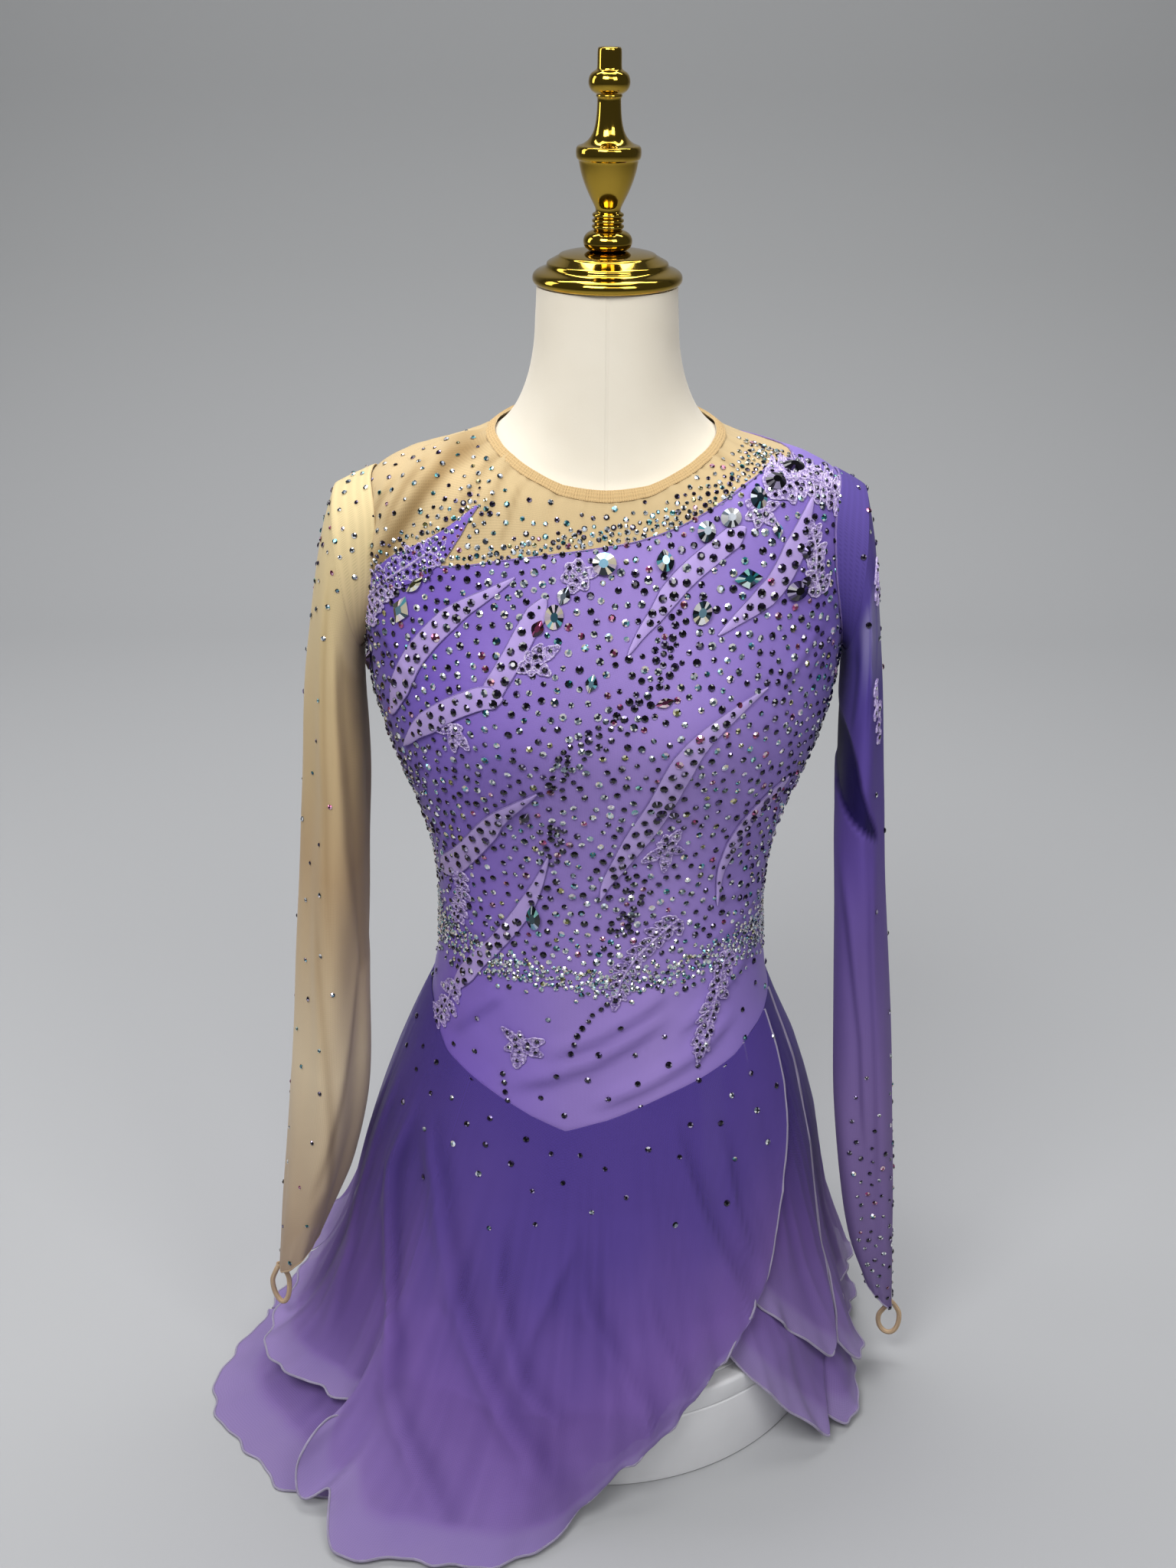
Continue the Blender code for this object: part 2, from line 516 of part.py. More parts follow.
def hip_line(start, end, count):
    line = []
    for i in range(count + 1):
        degrees = start + (end - start)*i/count
        turn = math.radians(degrees)
        line.append((turn, level_at(turn, straight_row(HIP_SEAM, degrees)[0])))
    return line


def neck_level(turn):
    folded = abs((math.degrees(turn) + 180) % 360 - 180)
    return straight_row(NECKLINE, folded)[0]


def neck_line(start, end, count=24):
    turns = [math.radians(start + (end - start)*i/count) for i in range(count + 1)]
    return [(turn, neck_level(turn)) for turn in turns]


def armhole_angle_at(level):
    return math.degrees(math.acos((level - ARMHOLE_LEVEL)/ARMHOLE_RISE))


def spaced(line, count):
    """A line of turns and levels, with its points spread evenly over the form's surface."""
    lengths = [0.0]
    for a, b in zip(line, line[1:]):
        lengths.append(lengths[-1] + (bare_point(*b) - bare_point(*a)).length)
    spread = [(length, *point) for length, point in zip(lengths, line)]
    return [tuple(straight_row(spread, lengths[-1]*i/count)) for i in range(count + 1)]


def panel(name, bottom, top, left, right, material):
    """Cloth panel that follows the form inside four lines of turn and level."""
    points = [[form_point(turn, level, BODICE_OUT) for turn, level in line]
              for line in coons(bottom, top, left, right)]
    add_cloth(name, pull_in(points, SEAM_GAP), material)


def build_bodice():
    armpit = ARMHOLE_LEVEL - ARMHOLE_RISE
    tip = ARMHOLE_LEVEL + ARMHOLE_RISE
    quarter = math.pi/2
    front_line = [place(x, z) for x, z in YOKE_LINE_FRONT]
    front_line[0] = armhole_point(-1, math.radians(armhole_angle_at(front_line[0][1])))
    start_angle = armhole_angle_at(front_line[0][1])
    shoulder = (quarter, YOKE_SHOULDER_LEVEL)
    back_line = [place(x, z, back=True) for x, z in YOKE_LINE_BACK]
    back_angle = armhole_angle_at(back_line[-1][1])
    end = armhole_point(-1, -math.radians(back_angle))
    back_line[-1] = (around(end[0]), end[1])

    # The line between bodice and yoke is shared, so both panels take the same points on it
    front_shared = spaced(front_line + [shoulder], 20)
    back_shared = spaced([shoulder] + back_line, 20)
    tip_right, tip_left = (quarter, tip), (3*quarter, tip)

    panel("bodice_front", spaced(hip_line(-90, 90, 40), 22),
          front_shared + spaced([shoulder, tip_right], 2)[1:],
          spaced([hip_line(-90, -90, 1)[0], (-quarter, armpit)], 13)
          + spaced(armhole_line(-1, 180, start_angle), 5)[1:],
          spaced([hip_line(90, 90, 1)[0], (quarter, armpit)], 11)
          + spaced(armhole_line(1, 180, 0), 7)[1:], "lilac_jersey")
    panel("yoke_front", front_shared,
          spaced([(-quarter, tip), (-quarter, neck_level(-quarter))], 5)
          + spaced(neck_line(-90, 90), 15)[1:],
          spaced(armhole_line(-1, start_angle, 0), 6),
          spaced([shoulder, (quarter, neck_level(quarter))], 6), "nude_mesh")
    panel("bodice_back", spaced(hip_line(90, 270, 40), 22),
          spaced([tip_right, shoulder], 2) + back_shared[1:],
          spaced([hip_line(90, 90, 1)[0], (quarter, armpit)], 8)
          + spaced(armhole_line(1, 180, 0, back=True), 7)[1:],
          spaced([hip_line(270, 270, 1)[0], (3*quarter, armpit)], 10)
          + spaced([(around(t), level)
                    for t, level in armhole_line(-1, 180, back_angle, back=True)], 5)[1:],
          "lilac_jersey")
    panel("yoke_back", back_shared,
          spaced(neck_line(90, 270), 14) + spaced([(3*quarter, neck_level(quarter)), tip_left], 6)[1:],
          spaced([shoulder, (quarter, neck_level(quarter))], 6),
          spaced([(around(t), level)
                  for t, level in armhole_line(-1, back_angle, 0, back=True)], 6), "nude_mesh")


def build_neck_band():
    sides = 30
    lines = [[], []]
    for i in range(sides):
        turn = 2*math.pi*i/sides
        level = neck_level(turn)
        reach = (bare_point(turn, level) - bare_point(turn, level - 0.1)).length/0.1
        lines[0].append(form_point(turn, level - BAND_WIDTH/reach, BAND_OUT))
        lines[1].append(form_point(turn, level, BAND_OUT))
    add_cloth("neck_band", lines, "nude_mesh", wall=TRIM_WALL, closed=True)


def build_sleeve(name, side, sections, material):
    """Empty sleeve down to its slanted cuff, a front and a back half above and below the elbow."""
    sides = 16
    middle = form_point(side*math.pi/2, ARMHOLE_LEVEL, SLEEVE_LAP_OUT)
    loop = []
    for i in range(sides):
        turn, level = armhole_point(side, 2*math.pi*i/sides)
        edge = form_point(turn, level, SLEEVE_LAP_OUT)
        loop.append(edge + (edge - middle).normalized()*SLEEVE_LAP)
    grid = [loop]
    for outer_x, outer_z, inner_x, inner_z, y, depth in sections:
        line = []
        for i in range(sides):
            angle = 2*math.pi*i/sides
            share = (1 + math.cos(angle))/2
            x = inner_x + (outer_x - inner_x)*share
            z = inner_z + (outer_z - inner_z)*share
            line.append(Vector((side*x, y - depth*math.sin(angle), z)))
        grid.append(line)
    front = [line[:sides//2 + 1] for line in grid]
    back = [line[sides//2:] + line[:1] for line in grid]
    for half, half_grid in (("_front", front), ("_back", back)):
        upper, lower = half_grid[:ELBOW_ROW + 1], half_grid[ELBOW_ROW:]
        add_cloth(name + half + "_upper", pull_in(upper, SEAM_GAP), material)
        add_cloth(name + half + "_lower", pull_in(lower, SEAM_GAP), material)


def build_finger_loop(name, x, y, z, half_width, half_height):
    turns, sides = 14, 6
    points, faces = [], []
    for i in range(turns):
        angle = 2*math.pi*i/turns
        middle = Vector((x + half_width*math.sin(angle), y, z + half_height*math.cos(angle)))
        outward = Vector((math.sin(angle)/half_width, 0, math.cos(angle)/half_height)).normalized()
        for k in range(sides):
            roll = 2*math.pi*k/sides
            points.append(middle + outward*(LOOP_CORD*math.cos(roll))
                          + Vector((0, LOOP_CORD*math.sin(roll), 0)))
    for i in range(turns):
        for k in range(sides):
            a, b = (i + 1) % turns, (k + 1) % sides
            faces.append((i*sides + k, i*sides + b, a*sides + b, a*sides + k))
    add_object(name, points, faces, "nude_mesh")


def cone_radius(turn, z):
    front, right, back, left = straight_row(SKIRT_CONE, z)
    width = right if math.sin(turn) > 0 else left
    return oval_reach(turn, width, front if math.cos(turn) > 0 else back, CONE_ROUNDNESS)


def fold_reach(turn, z):
    """How far the skirt's folds stand out at this turn and height."""
    depth = FOLD_DEPTH_FRONT + (FOLD_DEPTH_BACK - FOLD_DEPTH_FRONT)*(1 - math.cos(turn))/2
    fall = max(0.0, 1 - z/FOLD_START)
    return depth*fall**1.2*math.cos(FOLD_COUNT*(turn - math.radians(FOLD_TURN)))


def build_skirt_piece(name, offset, top_out, columns, rows, hem):
    """Sheet that falls from the hip seam to its hem, flaring out in folds."""
    count = len(hem) - 1
    grid = [[] for _ in range(rows + 1)]
    for i in range(columns + 1):
        seam_turn, hem_turn, hem_radius, hem_z = smooth_row(hem, count*i/columns)
        turn_top, turn_end = math.radians(seam_turn), math.radians(hem_turn)
        hem_z = max(hem_z, TABLE_HEM)
        seam_z = straight_row(HIP_SEAM, seam_turn)[0] - SKIRT_SEAM_DROP
        start = form_point(turn_top, level_at(turn_top, seam_z), top_out)
        start_radius = math.hypot(start.x, start.y)
        start_extra = start_radius - cone_radius(turn_top, seam_z) - offset
        end_extra = hem_radius - cone_radius(turn_end, hem_z) - offset
        for j in range(rows + 1):
            v = j/rows
            turn = turn_top + (turn_end - turn_top)*v
            z = start.z + (hem_z - start.z)*(1 - (1 - v)**SKIRT_DROP_POWER)
            radius = (cone_radius(turn, z) + offset + start_extra*(1 - v)**6
                      + end_extra*v**SKIRT_FLARE_POWER + fold_reach(turn, z))
            grid[j].append(Vector((radius*math.sin(turn), -radius*math.cos(turn), z)))
    add_cloth(name, grid, "chiffon")


def build_strip(name, width, line):
    """Tapered strip laid on the front, widest at two thirds of its length."""
    cells = max(6, round(sum(math.dist(a, b) for a, b in zip(line, line[1:]))/STRIP_CELL))
    middle = resample(line, cells)
    rows = [[], []]
    for i, (x, z) in enumerate(middle):
        before, after = middle[max(i - 1, 0)], middle[min(i + 1, cells)]
        dx, dz = after[0] - before[0], after[1] - before[1]
        length = math.hypot(dx, dz)
        share = i/cells
        half = width/2*max(math.sin(math.pi*share**0.8)**0.8, 0.12)
        for k, side in enumerate((-1, 1)):
            turn, level = place(x - side*half*dz/length, z + side*half*dx/length)
            rows[k].append(form_point(turn, level, TRIM_OUT))
    material = "lilac_jersey" if name == "flame_spike" else "strip_satin"
    add_cloth(name, rows, material, wall=TRIM_WALL)


def build_motif(name, x, z, half_length, half_width, tilt, petals):
    """Lace motif laid on the front, a ring of petals round its middle."""
    spots = 4*petals
    out = TRIM_OUT + half_length**2/(8*MOTIF_BEND)
    c, s = math.cos(math.radians(tilt)), math.sin(math.radians(tilt))
    points = [form_point(*place(x, z), out)]
    for i in range(spots):
        angle = 2*math.pi*i/spots
        reach = 0.55 + 0.45*abs(math.cos(petals*angle/2))
        along, across = half_length*reach*math.cos(angle), half_width*reach*math.sin(angle)
        points.append(form_point(*place(x + along*c - across*s, z + along*s + across*c), out))
    faces = [(0, i + 1, (i + 1) % spots + 1) for i in range(spots)]
    piece = add_object(name, points, faces, "lace")
    solidify = piece.modifiers.new("wall", "SOLIDIFY")
    solidify.thickness = TRIM_WALL
    solidify.offset = 0.0


def build_stone(name, x, z, half_length, half_width, tilt, height):
    """Faceted stone on the front, with a flat back and a flat table."""
    turn, level = place(x, z)
    base, normal = form_point(turn, level, STONE_OUT), form_normal(turn, level)
    across = Vector((0, 0, 1)).cross(normal).normalized()
    upward = normal.cross(across)
    c, s = math.cos(math.radians(tilt)), math.sin(math.radians(tilt))
    points = []
    for lift, scale in ((0.0, 0.92), (0.35*height, 1.0), (height, STONE_TABLE)):
        for i in range(STONE_SIDES):
            angle = 2*math.pi*i/STONE_SIDES
            a, b = half_length*scale*math.cos(angle), half_width*scale*math.sin(angle)
            points.append(base + across*(a*c - b*s) + upward*(a*s + b*c) + normal*lift)
    faces = [tuple(range(STONE_SIDES)), tuple(range(2*STONE_SIDES, 3*STONE_SIDES))]
    for j in range(2):
        for i in range(STONE_SIDES):
            k = (i + 1) % STONE_SIDES
            low, high = j*STONE_SIDES, (j + 1)*STONE_SIDES
            faces.append((low + i, low + k, high + k, high + i))
    add_object(name, points, faces, "crystal", sharp_angle=5)


def main():
    for old in list(bpy.data.objects):
        bpy.data.objects.remove(old, do_unlink=True)
    build_form()
    build_stand()
    build_bodice()
    build_neck_band()
    build_sleeve("sleeve_right", -1, SLEEVE_RIGHT, "nude_mesh")
    build_sleeve("sleeve_left", 1, SLEEVE_LEFT, "violet_mesh")
    for name, sizes in FINGER_LOOPS.items():
        build_finger_loop(name, *sizes)
    for name, sizes in SKIRT_PIECES.items():
        build_skirt_piece(name, *sizes)
    for name, (width, line) in STRIPS.items():
        build_strip(name, width, line)
    for name, sizes in MOTIFS.items():
        build_motif(name, *sizes)
    for name, sizes in STONES.items():
        build_stone(name, *sizes)


main()
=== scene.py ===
# Looks of the figure skating dress on its dress form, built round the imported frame.
# Metres, +Z up. The dress faces -Y, +X is to the viewer's right, and z = 0 is the table.
import math
import random

import bpy
from mathutils import Matrix, Vector, noise
from mathutils.bvhtree import BVHTree


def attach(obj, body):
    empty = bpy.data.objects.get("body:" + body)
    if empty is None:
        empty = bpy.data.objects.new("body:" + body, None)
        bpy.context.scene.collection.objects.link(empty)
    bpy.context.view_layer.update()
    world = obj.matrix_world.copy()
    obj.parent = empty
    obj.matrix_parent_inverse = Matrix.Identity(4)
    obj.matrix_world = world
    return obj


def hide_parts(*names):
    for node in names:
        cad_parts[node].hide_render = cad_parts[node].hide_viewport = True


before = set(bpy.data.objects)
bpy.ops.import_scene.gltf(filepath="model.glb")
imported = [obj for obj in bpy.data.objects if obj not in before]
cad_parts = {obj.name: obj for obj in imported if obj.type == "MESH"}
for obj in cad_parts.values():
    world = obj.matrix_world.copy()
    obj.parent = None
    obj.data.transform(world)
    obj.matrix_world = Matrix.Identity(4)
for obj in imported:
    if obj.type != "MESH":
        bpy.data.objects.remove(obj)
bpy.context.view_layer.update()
random.seed(7)
print("frame loaded")


# Camera and stage

cameraView = {"place": (-0.0097, -1.15, 1.0076), "pitch": 25.07, "roll": 0.40, "lens": 42.19}


def addCamera(view):
    data = bpy.data.cameras.new("camera")
    data.lens = view["lens"]
    data.sensor_width = 36
    data.clip_start = 0.01
    camera = bpy.data.objects.new("camera", data)
    tilt = Matrix.Rotation(math.radians(90 - view["pitch"]), 4, "X")
    roll = Matrix.Rotation(math.radians(view["roll"]), 4, "Z")
    camera.matrix_world = Matrix.Translation(view["place"]) @ tilt @ roll
    bpy.context.scene.collection.objects.link(camera)
    bpy.context.scene.camera = camera


addCamera(cameraView)


# Small helpers for meshes, tables and materials

tenthsPerMetre = 10000


def deselectAll():
    bpy.ops.object.select_all(action="DESELECT")


def makeActive(piece):
    deselectAll()
    piece.select_set(True)
    bpy.context.view_layer.objects.active = piece


def setMode(mode):
    bpy.ops.object.mode_set(mode=mode)


def faceOutward(piece):
    makeActive(piece)
    setMode("EDIT")
    bpy.ops.mesh.select_all(action="SELECT")
    bpy.ops.mesh.normals_make_consistent(inside=False)
    setMode("OBJECT")


def applyModifier(piece, kind, **settings):
    makeActive(piece)
    modifier = piece.modifiers.new(kind, kind)
    for key, value in settings.items():
        setattr(modifier, key, value)
    bpy.ops.object.modifier_apply(modifier=modifier.name)


def linear(hexColour):
    # sRGB hex to the linear values that a shader takes
    parts = [int(hexColour[i:i + 2], 16)/255 for i in (0, 2, 4)]
    return [c/12.92 if c <= 0.04045 else ((c + 0.055)/1.055)**2.4 for c in parts] + [1.0]


def newMaterial(name):
    material = bpy.data.materials.new(name)
    material.use_nodes = True
    tree = material.node_tree
    return material, tree, tree.nodes["Principled BSDF"]


def addNode(tree, kind, settings=None, links=None):
    # a capitalised key or a number sets an input, any other key sets the node's own property
    node = tree.nodes.new("ShaderNode" + kind)
    for key, value in (settings or {}).items():
        if key[0].isupper() or key[0].isdigit():
            socket = node.inputs[int(key)] if key.isdigit() else node.inputs[key]
            socket.default_value = value
        else:
            setattr(node, key, value)
    for key, source in (links or {}).items():
        tree.links.new(source, node.inputs[int(key)] if key.isdigit() else node.inputs[key])
    return node


def objectPlace(tree):
    return addNode(tree, "TexCoord").outputs["Object"]


def addNoise(tree, place, scale, detail):
    return addNode(tree, "TexNoise", {"Scale": scale, "Detail": detail}, {"Vector": place}).outputs["Fac"]


def addBump(tree, shader, height, strength, distance):
    # a bump lies on top of the ones added before it
    links = {"Height": height}
    if shader.inputs["Normal"].is_linked:
        links["Normal"] = shader.inputs["Normal"].links[0].from_socket
    bump = addNode(tree, "Bump", {"Strength": strength, "Distance": distance}, links)
    tree.links.new(bump.outputs["Normal"], shader.inputs["Normal"])


def setInputs(shader, values):
    for key, value in values.items():
        shader.inputs[key].default_value = value


def metres(value):
    # in a table, whole numbers are tenths of a millimetre and the other numbers stay as they are
    if isinstance(value, tuple):
        return tuple(metres(part) for part in value)
    if isinstance(value, dict):
        return {key: metres(part) for key, part in value.items()}
    return value/tenthsPerMetre if isinstance(value, int) else value


def camelName(node):
    words = node.split("_")
    return words[0] + "".join(word.capitalize() for word in words[1:])


def meshPiece(name, points, faces, material):
    mesh = bpy.data.meshes.new(name)
    mesh.from_pydata([tuple(p) for p in points], [], faces)
    mesh.materials.append(material)
    piece = bpy.data.objects.new(name, mesh)
    bpy.context.scene.collection.objects.link(piece)
    return piece


def setUv(piece, values):
    piece.data.uv_layers.new(name="cut").data.foreach_set("uv", values)


def smooth(piece, angle):
    mesh = piece.data
    mesh.polygons.foreach_set("use_smooth", [True]*len(mesh.polygons))
    mesh.set_sharp_from_angle(angle=math.radians(angle))


def rideRoot(piece, slot, *nodes):
    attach(piece, "root")
    if nodes:
        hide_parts(*nodes)


# Smooth curves through rows of values

def smoothRow(rows, position):
    last = len(rows) - 1
    k = min(max(math.floor(position), 0), last - 1)
    t = position - k
    a, b, c, d = (rows[min(max(k + step, 0), last)] for step in (-1, 0, 1, 2))
    return [q + 0.5*t*(r - p + t*(2*p - 5*q + 4*r - s + t*(3*(q - r) + s - p)))
            for p, q, r, s in zip(a, b, c, d)]


def straightRow(rows, key):
    for low, high in zip(rows, rows[1:]):
        if min(low[0], high[0]) <= key <= max(low[0], high[0]):
            t = (key - low[0])/(high[0] - low[0])
            return [a + (b - a)*t for a, b in zip(low[1:], high[1:])]
    return list(rows[0][1:] if abs(key - rows[0][0]) < abs(key - rows[-1][0]) else rows[-1][1:])


def fade(value, start, end):
    # 0 at start, 1 at end, with a soft beginning and end
    t = min(max((value - start)/(end - start), 0.0), 1.0)
    return t*t*(3 - 2*t)


# The form's surface: a turn goes round the axis from the front, a level goes up the rings

formShape = {
    # side, front and back height of each ring, its half width, front depth and back depth
    "rings": metres((
        (745, 745, 745, 1470, 960, 990), (1200, 1200, 1200, 1550, 1020, 1060),
        (1650, 1650, 1650, 1580, 1040, 1080), (2100, 2100, 2100, 1520, 1020, 1040),
        (2500, 2500, 2500, 1400, 960, 960), (2900, 2900, 2900, 1260, 900, 870),
        (3350, 3350, 3350, 1155, 850, 790), (3850, 3850, 3850, 1115, 820, 750),
        (4300, 4300, 4300, 1150, 850, 800), (4700, 4700, 4700, 1255, 920, 880),
        (5100, 5100, 5100, 1400, 1000, 950), (5500, 5500, 5500, 1505, 1060, 1000),
        (5900, 5900, 5900, 1550, 1030, 1010), (6280, 6230, 6280, 1570, 940, 980),
        (6600, 6500, 6600, 1570, 840, 910), (6830, 6700, 6850, 1515, 740, 820),
        (6950, 6820, 7030, 1380, 670, 720), (7020, 6900, 7160, 1140, 610, 620),
        (7095, 6950, 7260, 890, 560, 540), (7190, 7010, 7340, 705, 520, 490),
        (7320, 7150, 7440, 585, 475, 460), (7500, 7370, 7560, 505, 445, 440),
        (7700, 7650, 7720, 462, 430, 430), (7900, 7890, 7900, 448, 425, 425),
        (8080, 8080, 8080, 440, 425, 425),
    )),
    "roundness": 2.25, "bustAcross": 0.066, "bustHeight": 0.548, "bustSpread": 0.050, "bustRise": 0.013,
}


def ovalReach(turn, width, depth, roundness):
    return (abs(math.sin(turn)/width)**roundness + abs(math.cos(turn)/depth)**roundness)**(-1/roundness)


def barePoint(turn, level):
    zSide, zFront, zBack, width, front, back = smoothRow(formShape["rings"], level)
    s, c = math.sin(turn), math.cos(turn)
    reach = ovalReach(turn, width, front if c > 0 else back, formShape["roundness"])
    x, y = reach*s, -reach*c
    z = zSide + ((zFront if c > 0 else zBack) - zSide)*c*c
    if c > 0:
        for side in (-1, 1):
            away = (x - side*formShape["bustAcross"])**2 + (z - formShape["bustHeight"])**2
            y -= formShape["bustRise"]*c*math.exp(-away/formShape["bustSpread"]**2)
    return Vector((x, y, z))


def formPoint(turn, level, out=0.0):
    step = 1e-3
    around = barePoint(turn + step, level) - barePoint(turn - step, level)
    upward = barePoint(turn, level + step) - barePoint(turn, level - step)
    return barePoint(turn, level) + around.cross(upward).normalized()*out


def levelAt(turn, z):
    low, high = 0.0, len(formShape["rings"]) - 1.0
    for _ in range(20):
        middle = (low + high)/2
        low, high = (middle, high) if barePoint(turn, middle).z < z else (low, middle)
    return low


def placeOn(x, z, back=False):
    low, high = 0.0, math.pi/2
    for _ in range(18):
        angle = math.copysign((low + high)/2, x)
        turn = math.pi - angle if back else angle
        level = levelAt(turn, z)
        inside = abs(barePoint(turn, level).x) < abs(x)
        low, high = (abs(angle), high) if inside else (low, abs(angle))
    return turn, level


# Seams and edges on the form, the same lines that the solids are cut to

seams = {
    "hip": metres((
        (-90.0, 3190), (-76.0, 3105), (-62.0, 2870), (-43.0, 2710), (-27.0, 2570), (-13.4, 2480),
        (3.0, 2565), (15.0, 2650), (28.0, 2740), (42.0, 2830), (54.0, 2915), (63.0, 3015), (75.0, 3100),
        (90.0, 3180), (135.0, 3020), (180.0, 2940), (225.0, 3020), (270.0, 3190),
    )),
    "neckline": ((0, 17.6), (25, 17.7), (40, 18.2), (55, 18.65), (70, 18.95), (90, 19.15), (180, 19.2)),
    "yokeFront": metres((
        (-1550, 6260), (-1400, 6400), (-1150, 6480), (-880, 6510), (-620, 6560), (-230, 6610), (0, 6640),
        (200, 6675), (410, 6740), (570, 6810), (720, 6885), (880, 6965), (1000, 7015),
    )),
    "yokeBack": metres((
        (900, 7030), (600, 6940), (200, 6820), (-300, 6700), (-800, 6570), (-1200, 6440), (-1500, 6280),
    )),
    "shoulderLevel": 16.83, "armholeLevel": 13.55, "armholeRise": 1.85, "armholeHalfTurn": 16.5,
}


def armholePoint(side, angle):
    turn = math.radians(90 - seams["armholeHalfTurn"]*math.sin(angle))
    return side*turn, seams["armholeLevel"] + seams["armholeRise"]*math.cos(angle)


def armholeLine(side, start, end, back=False, count=24):
    angles = [math.radians(start + (end - start)*i/count) for i in range(count + 1)]
    return [armholePoint(side, -angle if back else angle) for angle in angles]


def around(line):
    # turns counted from the viewer's right round the back
    return [(turn if turn > 0 else turn + 2*math.pi, level) for turn, level in line]


def hipLine(start, end, count=80):
    line = []
    for i in range(count + 1):
        degrees = start + (end - start)*i/count
        turn = math.radians(degrees)
        line.append((turn, levelAt(turn, straightRow(seams["hip"], degrees)[0])))
    return line


def neckLevel(turn):
    return straightRow(seams["neckline"], abs((math.degrees(turn) + 180) % 360 - 180))[0]


def neckLine(start, end, count=60):
    turns = [math.radians(start + (end - start)*i/count) for i in range(count + 1)]
    return [(turn, neckLevel(turn)) for turn in turns]


def armholeAngle(level):
    return math.degrees(math.acos((level - seams["armholeLevel"])/seams["armholeRise"]))


def spaced(line, count):
    # the same line with its points spread evenly over the form
    lengths = [0.0]
    for a, b in zip(line, line[1:]):
        lengths.append(lengths[-1] + (barePoint(*b) - barePoint(*a)).length)
    rows = [(length, *point) for length, point in zip(lengths, line)]
    return [tuple(straightRow(rows, lengths[-1]*i/count)) for i in range(count + 1)]


def rounded(line, per=8):
    # a smooth curve through a line of a few points
    return [tuple(smoothRow(line, i/per)) for i in range((len(line) - 1)*per + 1)]


def patch(bottom, top, left, right):
    # grid of turn and level inside four lines
    columns, rows = len(bottom) - 1, len(left) - 1
    grid = []
    for j in range(rows + 1):
        v = j/rows
        line = []
        for i in range(columns + 1):
            u = i/columns
            line.append(tuple(
                (1 - u)*left[j][k] + u*right[j][k] + (1 - v)*bottom[i][k] + v*top[i][k]
                - (1 - u)*(1 - v)*bottom[0][k] - u*(1 - v)*bottom[-1][k]
                - (1 - u)*v*top[0][k] - u*v*top[-1][k] for k in (0, 1)))
        grid.append(line)
    return grid


# Cloth sheets: a grid of points, a thin wall, a UV map in metres and a drop from 0 to 1

def rowLengths(points):
    lengths = [0.0]
    for a, b in zip(points, points[1:]):
        lengths.append(lengths[-1] + (b - a).length)
    return lengths


def clothSheet(name, grid, material, wall, closed=False, dense=None, run=None):
    # the first list gives, point by point, the painted shade and where the cloth doubles over (above 0) or
    # is a single layer (below 0); run gives how far its dye has run
    columns = len(grid[0])
    points = [p for line in grid for p in line]
    middleRow = grid[len(grid)//2]
    across = rowLengths(middleRow + middleRow[:1] if closed else middleRow)
    down = rowLengths([line[columns//2] for line in grid])
    faces, uvs = [], []
    for j in range(len(grid) - 1):
        for i in range(columns if closed else columns - 1):
            k = (i + 1) % columns
            faces.append((j*columns + i, j*columns + k, (j + 1)*columns + k, (j + 1)*columns + i))
            uvs += [across[i], down[j], across[i + 1], down[j],
                    across[i + 1], down[j + 1], across[i], down[j + 1]]
    piece = meshPiece(name, points, faces, material)
    setUv(piece, uvs)
    drop = piece.data.attributes.new("drop", "FLOAT", "POINT")
    run = run or [[j/(len(grid) - 1)]*columns for j in range(len(grid))]
    drop.data.foreach_set("value", [value for line in run for value in line])
    if dense:
        thick = piece.data.attributes.new("dense", "FLOAT", "POINT")
        thick.data.foreach_set("value", [value for line in dense for value in line])
    piece["flatArea"] = sum(face.area for face in piece.data.polygons)
    piece["flatSize"] = (across[-1], down[-1])
    applyModifier(piece, "SOLIDIFY", thickness=wall, offset=0.0)
    smooth(piece, 50)
    return piece


def tubeRing(points, radius, sides, closed):
    # points and faces of a thin cord along a path
    count = len(points)
    made, faces = [], []
    lift = Vector((0, 0, 1))
    for i, point in enumerate(points):
        if closed:
            along = points[(i + 1) % count] - points[i - 1]
        else:
            along = points[min(i + 1, count - 1)] - points[max(i - 1, 0)]
        along = along.normalized() if along.length > 1e-9 else Vector((1, 0, 0))
        side = along.cross(lift)
        side = side.normalized() if side.length > 1e-6 else along.orthogonal().normalized()
        lift = side.cross(along).normalized()
        for k in range(sides):
            roll = 2*math.pi*k/sides
            made.append(point + (side*math.cos(roll) + lift*math.sin(roll))*radius)
    for i in range(count if closed else count - 1):
        for k in range(sides):
            a, b = (i + 1) % count, (k + 1) % sides
            faces.append((i*sides + k, i*sides + b, a*sides + b, a*sides + k))
    if not closed:
        faces.append(tuple(range(sides))[::-1])
        faces.append(tuple(range((count - 1)*sides, count*sides)))
    return made, faces


def cordPiece(name, path, radius, sides, material, closed=False):
    points, faces = tubeRing(path, radius, sides, closed)
    piece = meshPiece(name, points, faces, material)
    run = [0.0]
    for k in range(1, len(points)):
        run.append(run[-1] + (0.0 if k % sides else (points[k] - points[k - sides]).length))
    setUv(piece, [c for loop in piece.data.loops
                  for c in (run[loop.vertex_index], loop.vertex_index % sides/sides)])
    smooth(piece, 60)
    return piece


# Materials, each named for the cloth, metal or glass that it is

weaveLook = {"threadHeight": 0.0003, "creaseScale": 38.0, "creaseHeight": 0.004,
             "threadShade": (0.88, 1.05), "darkestLayersAndShade": 0.6}


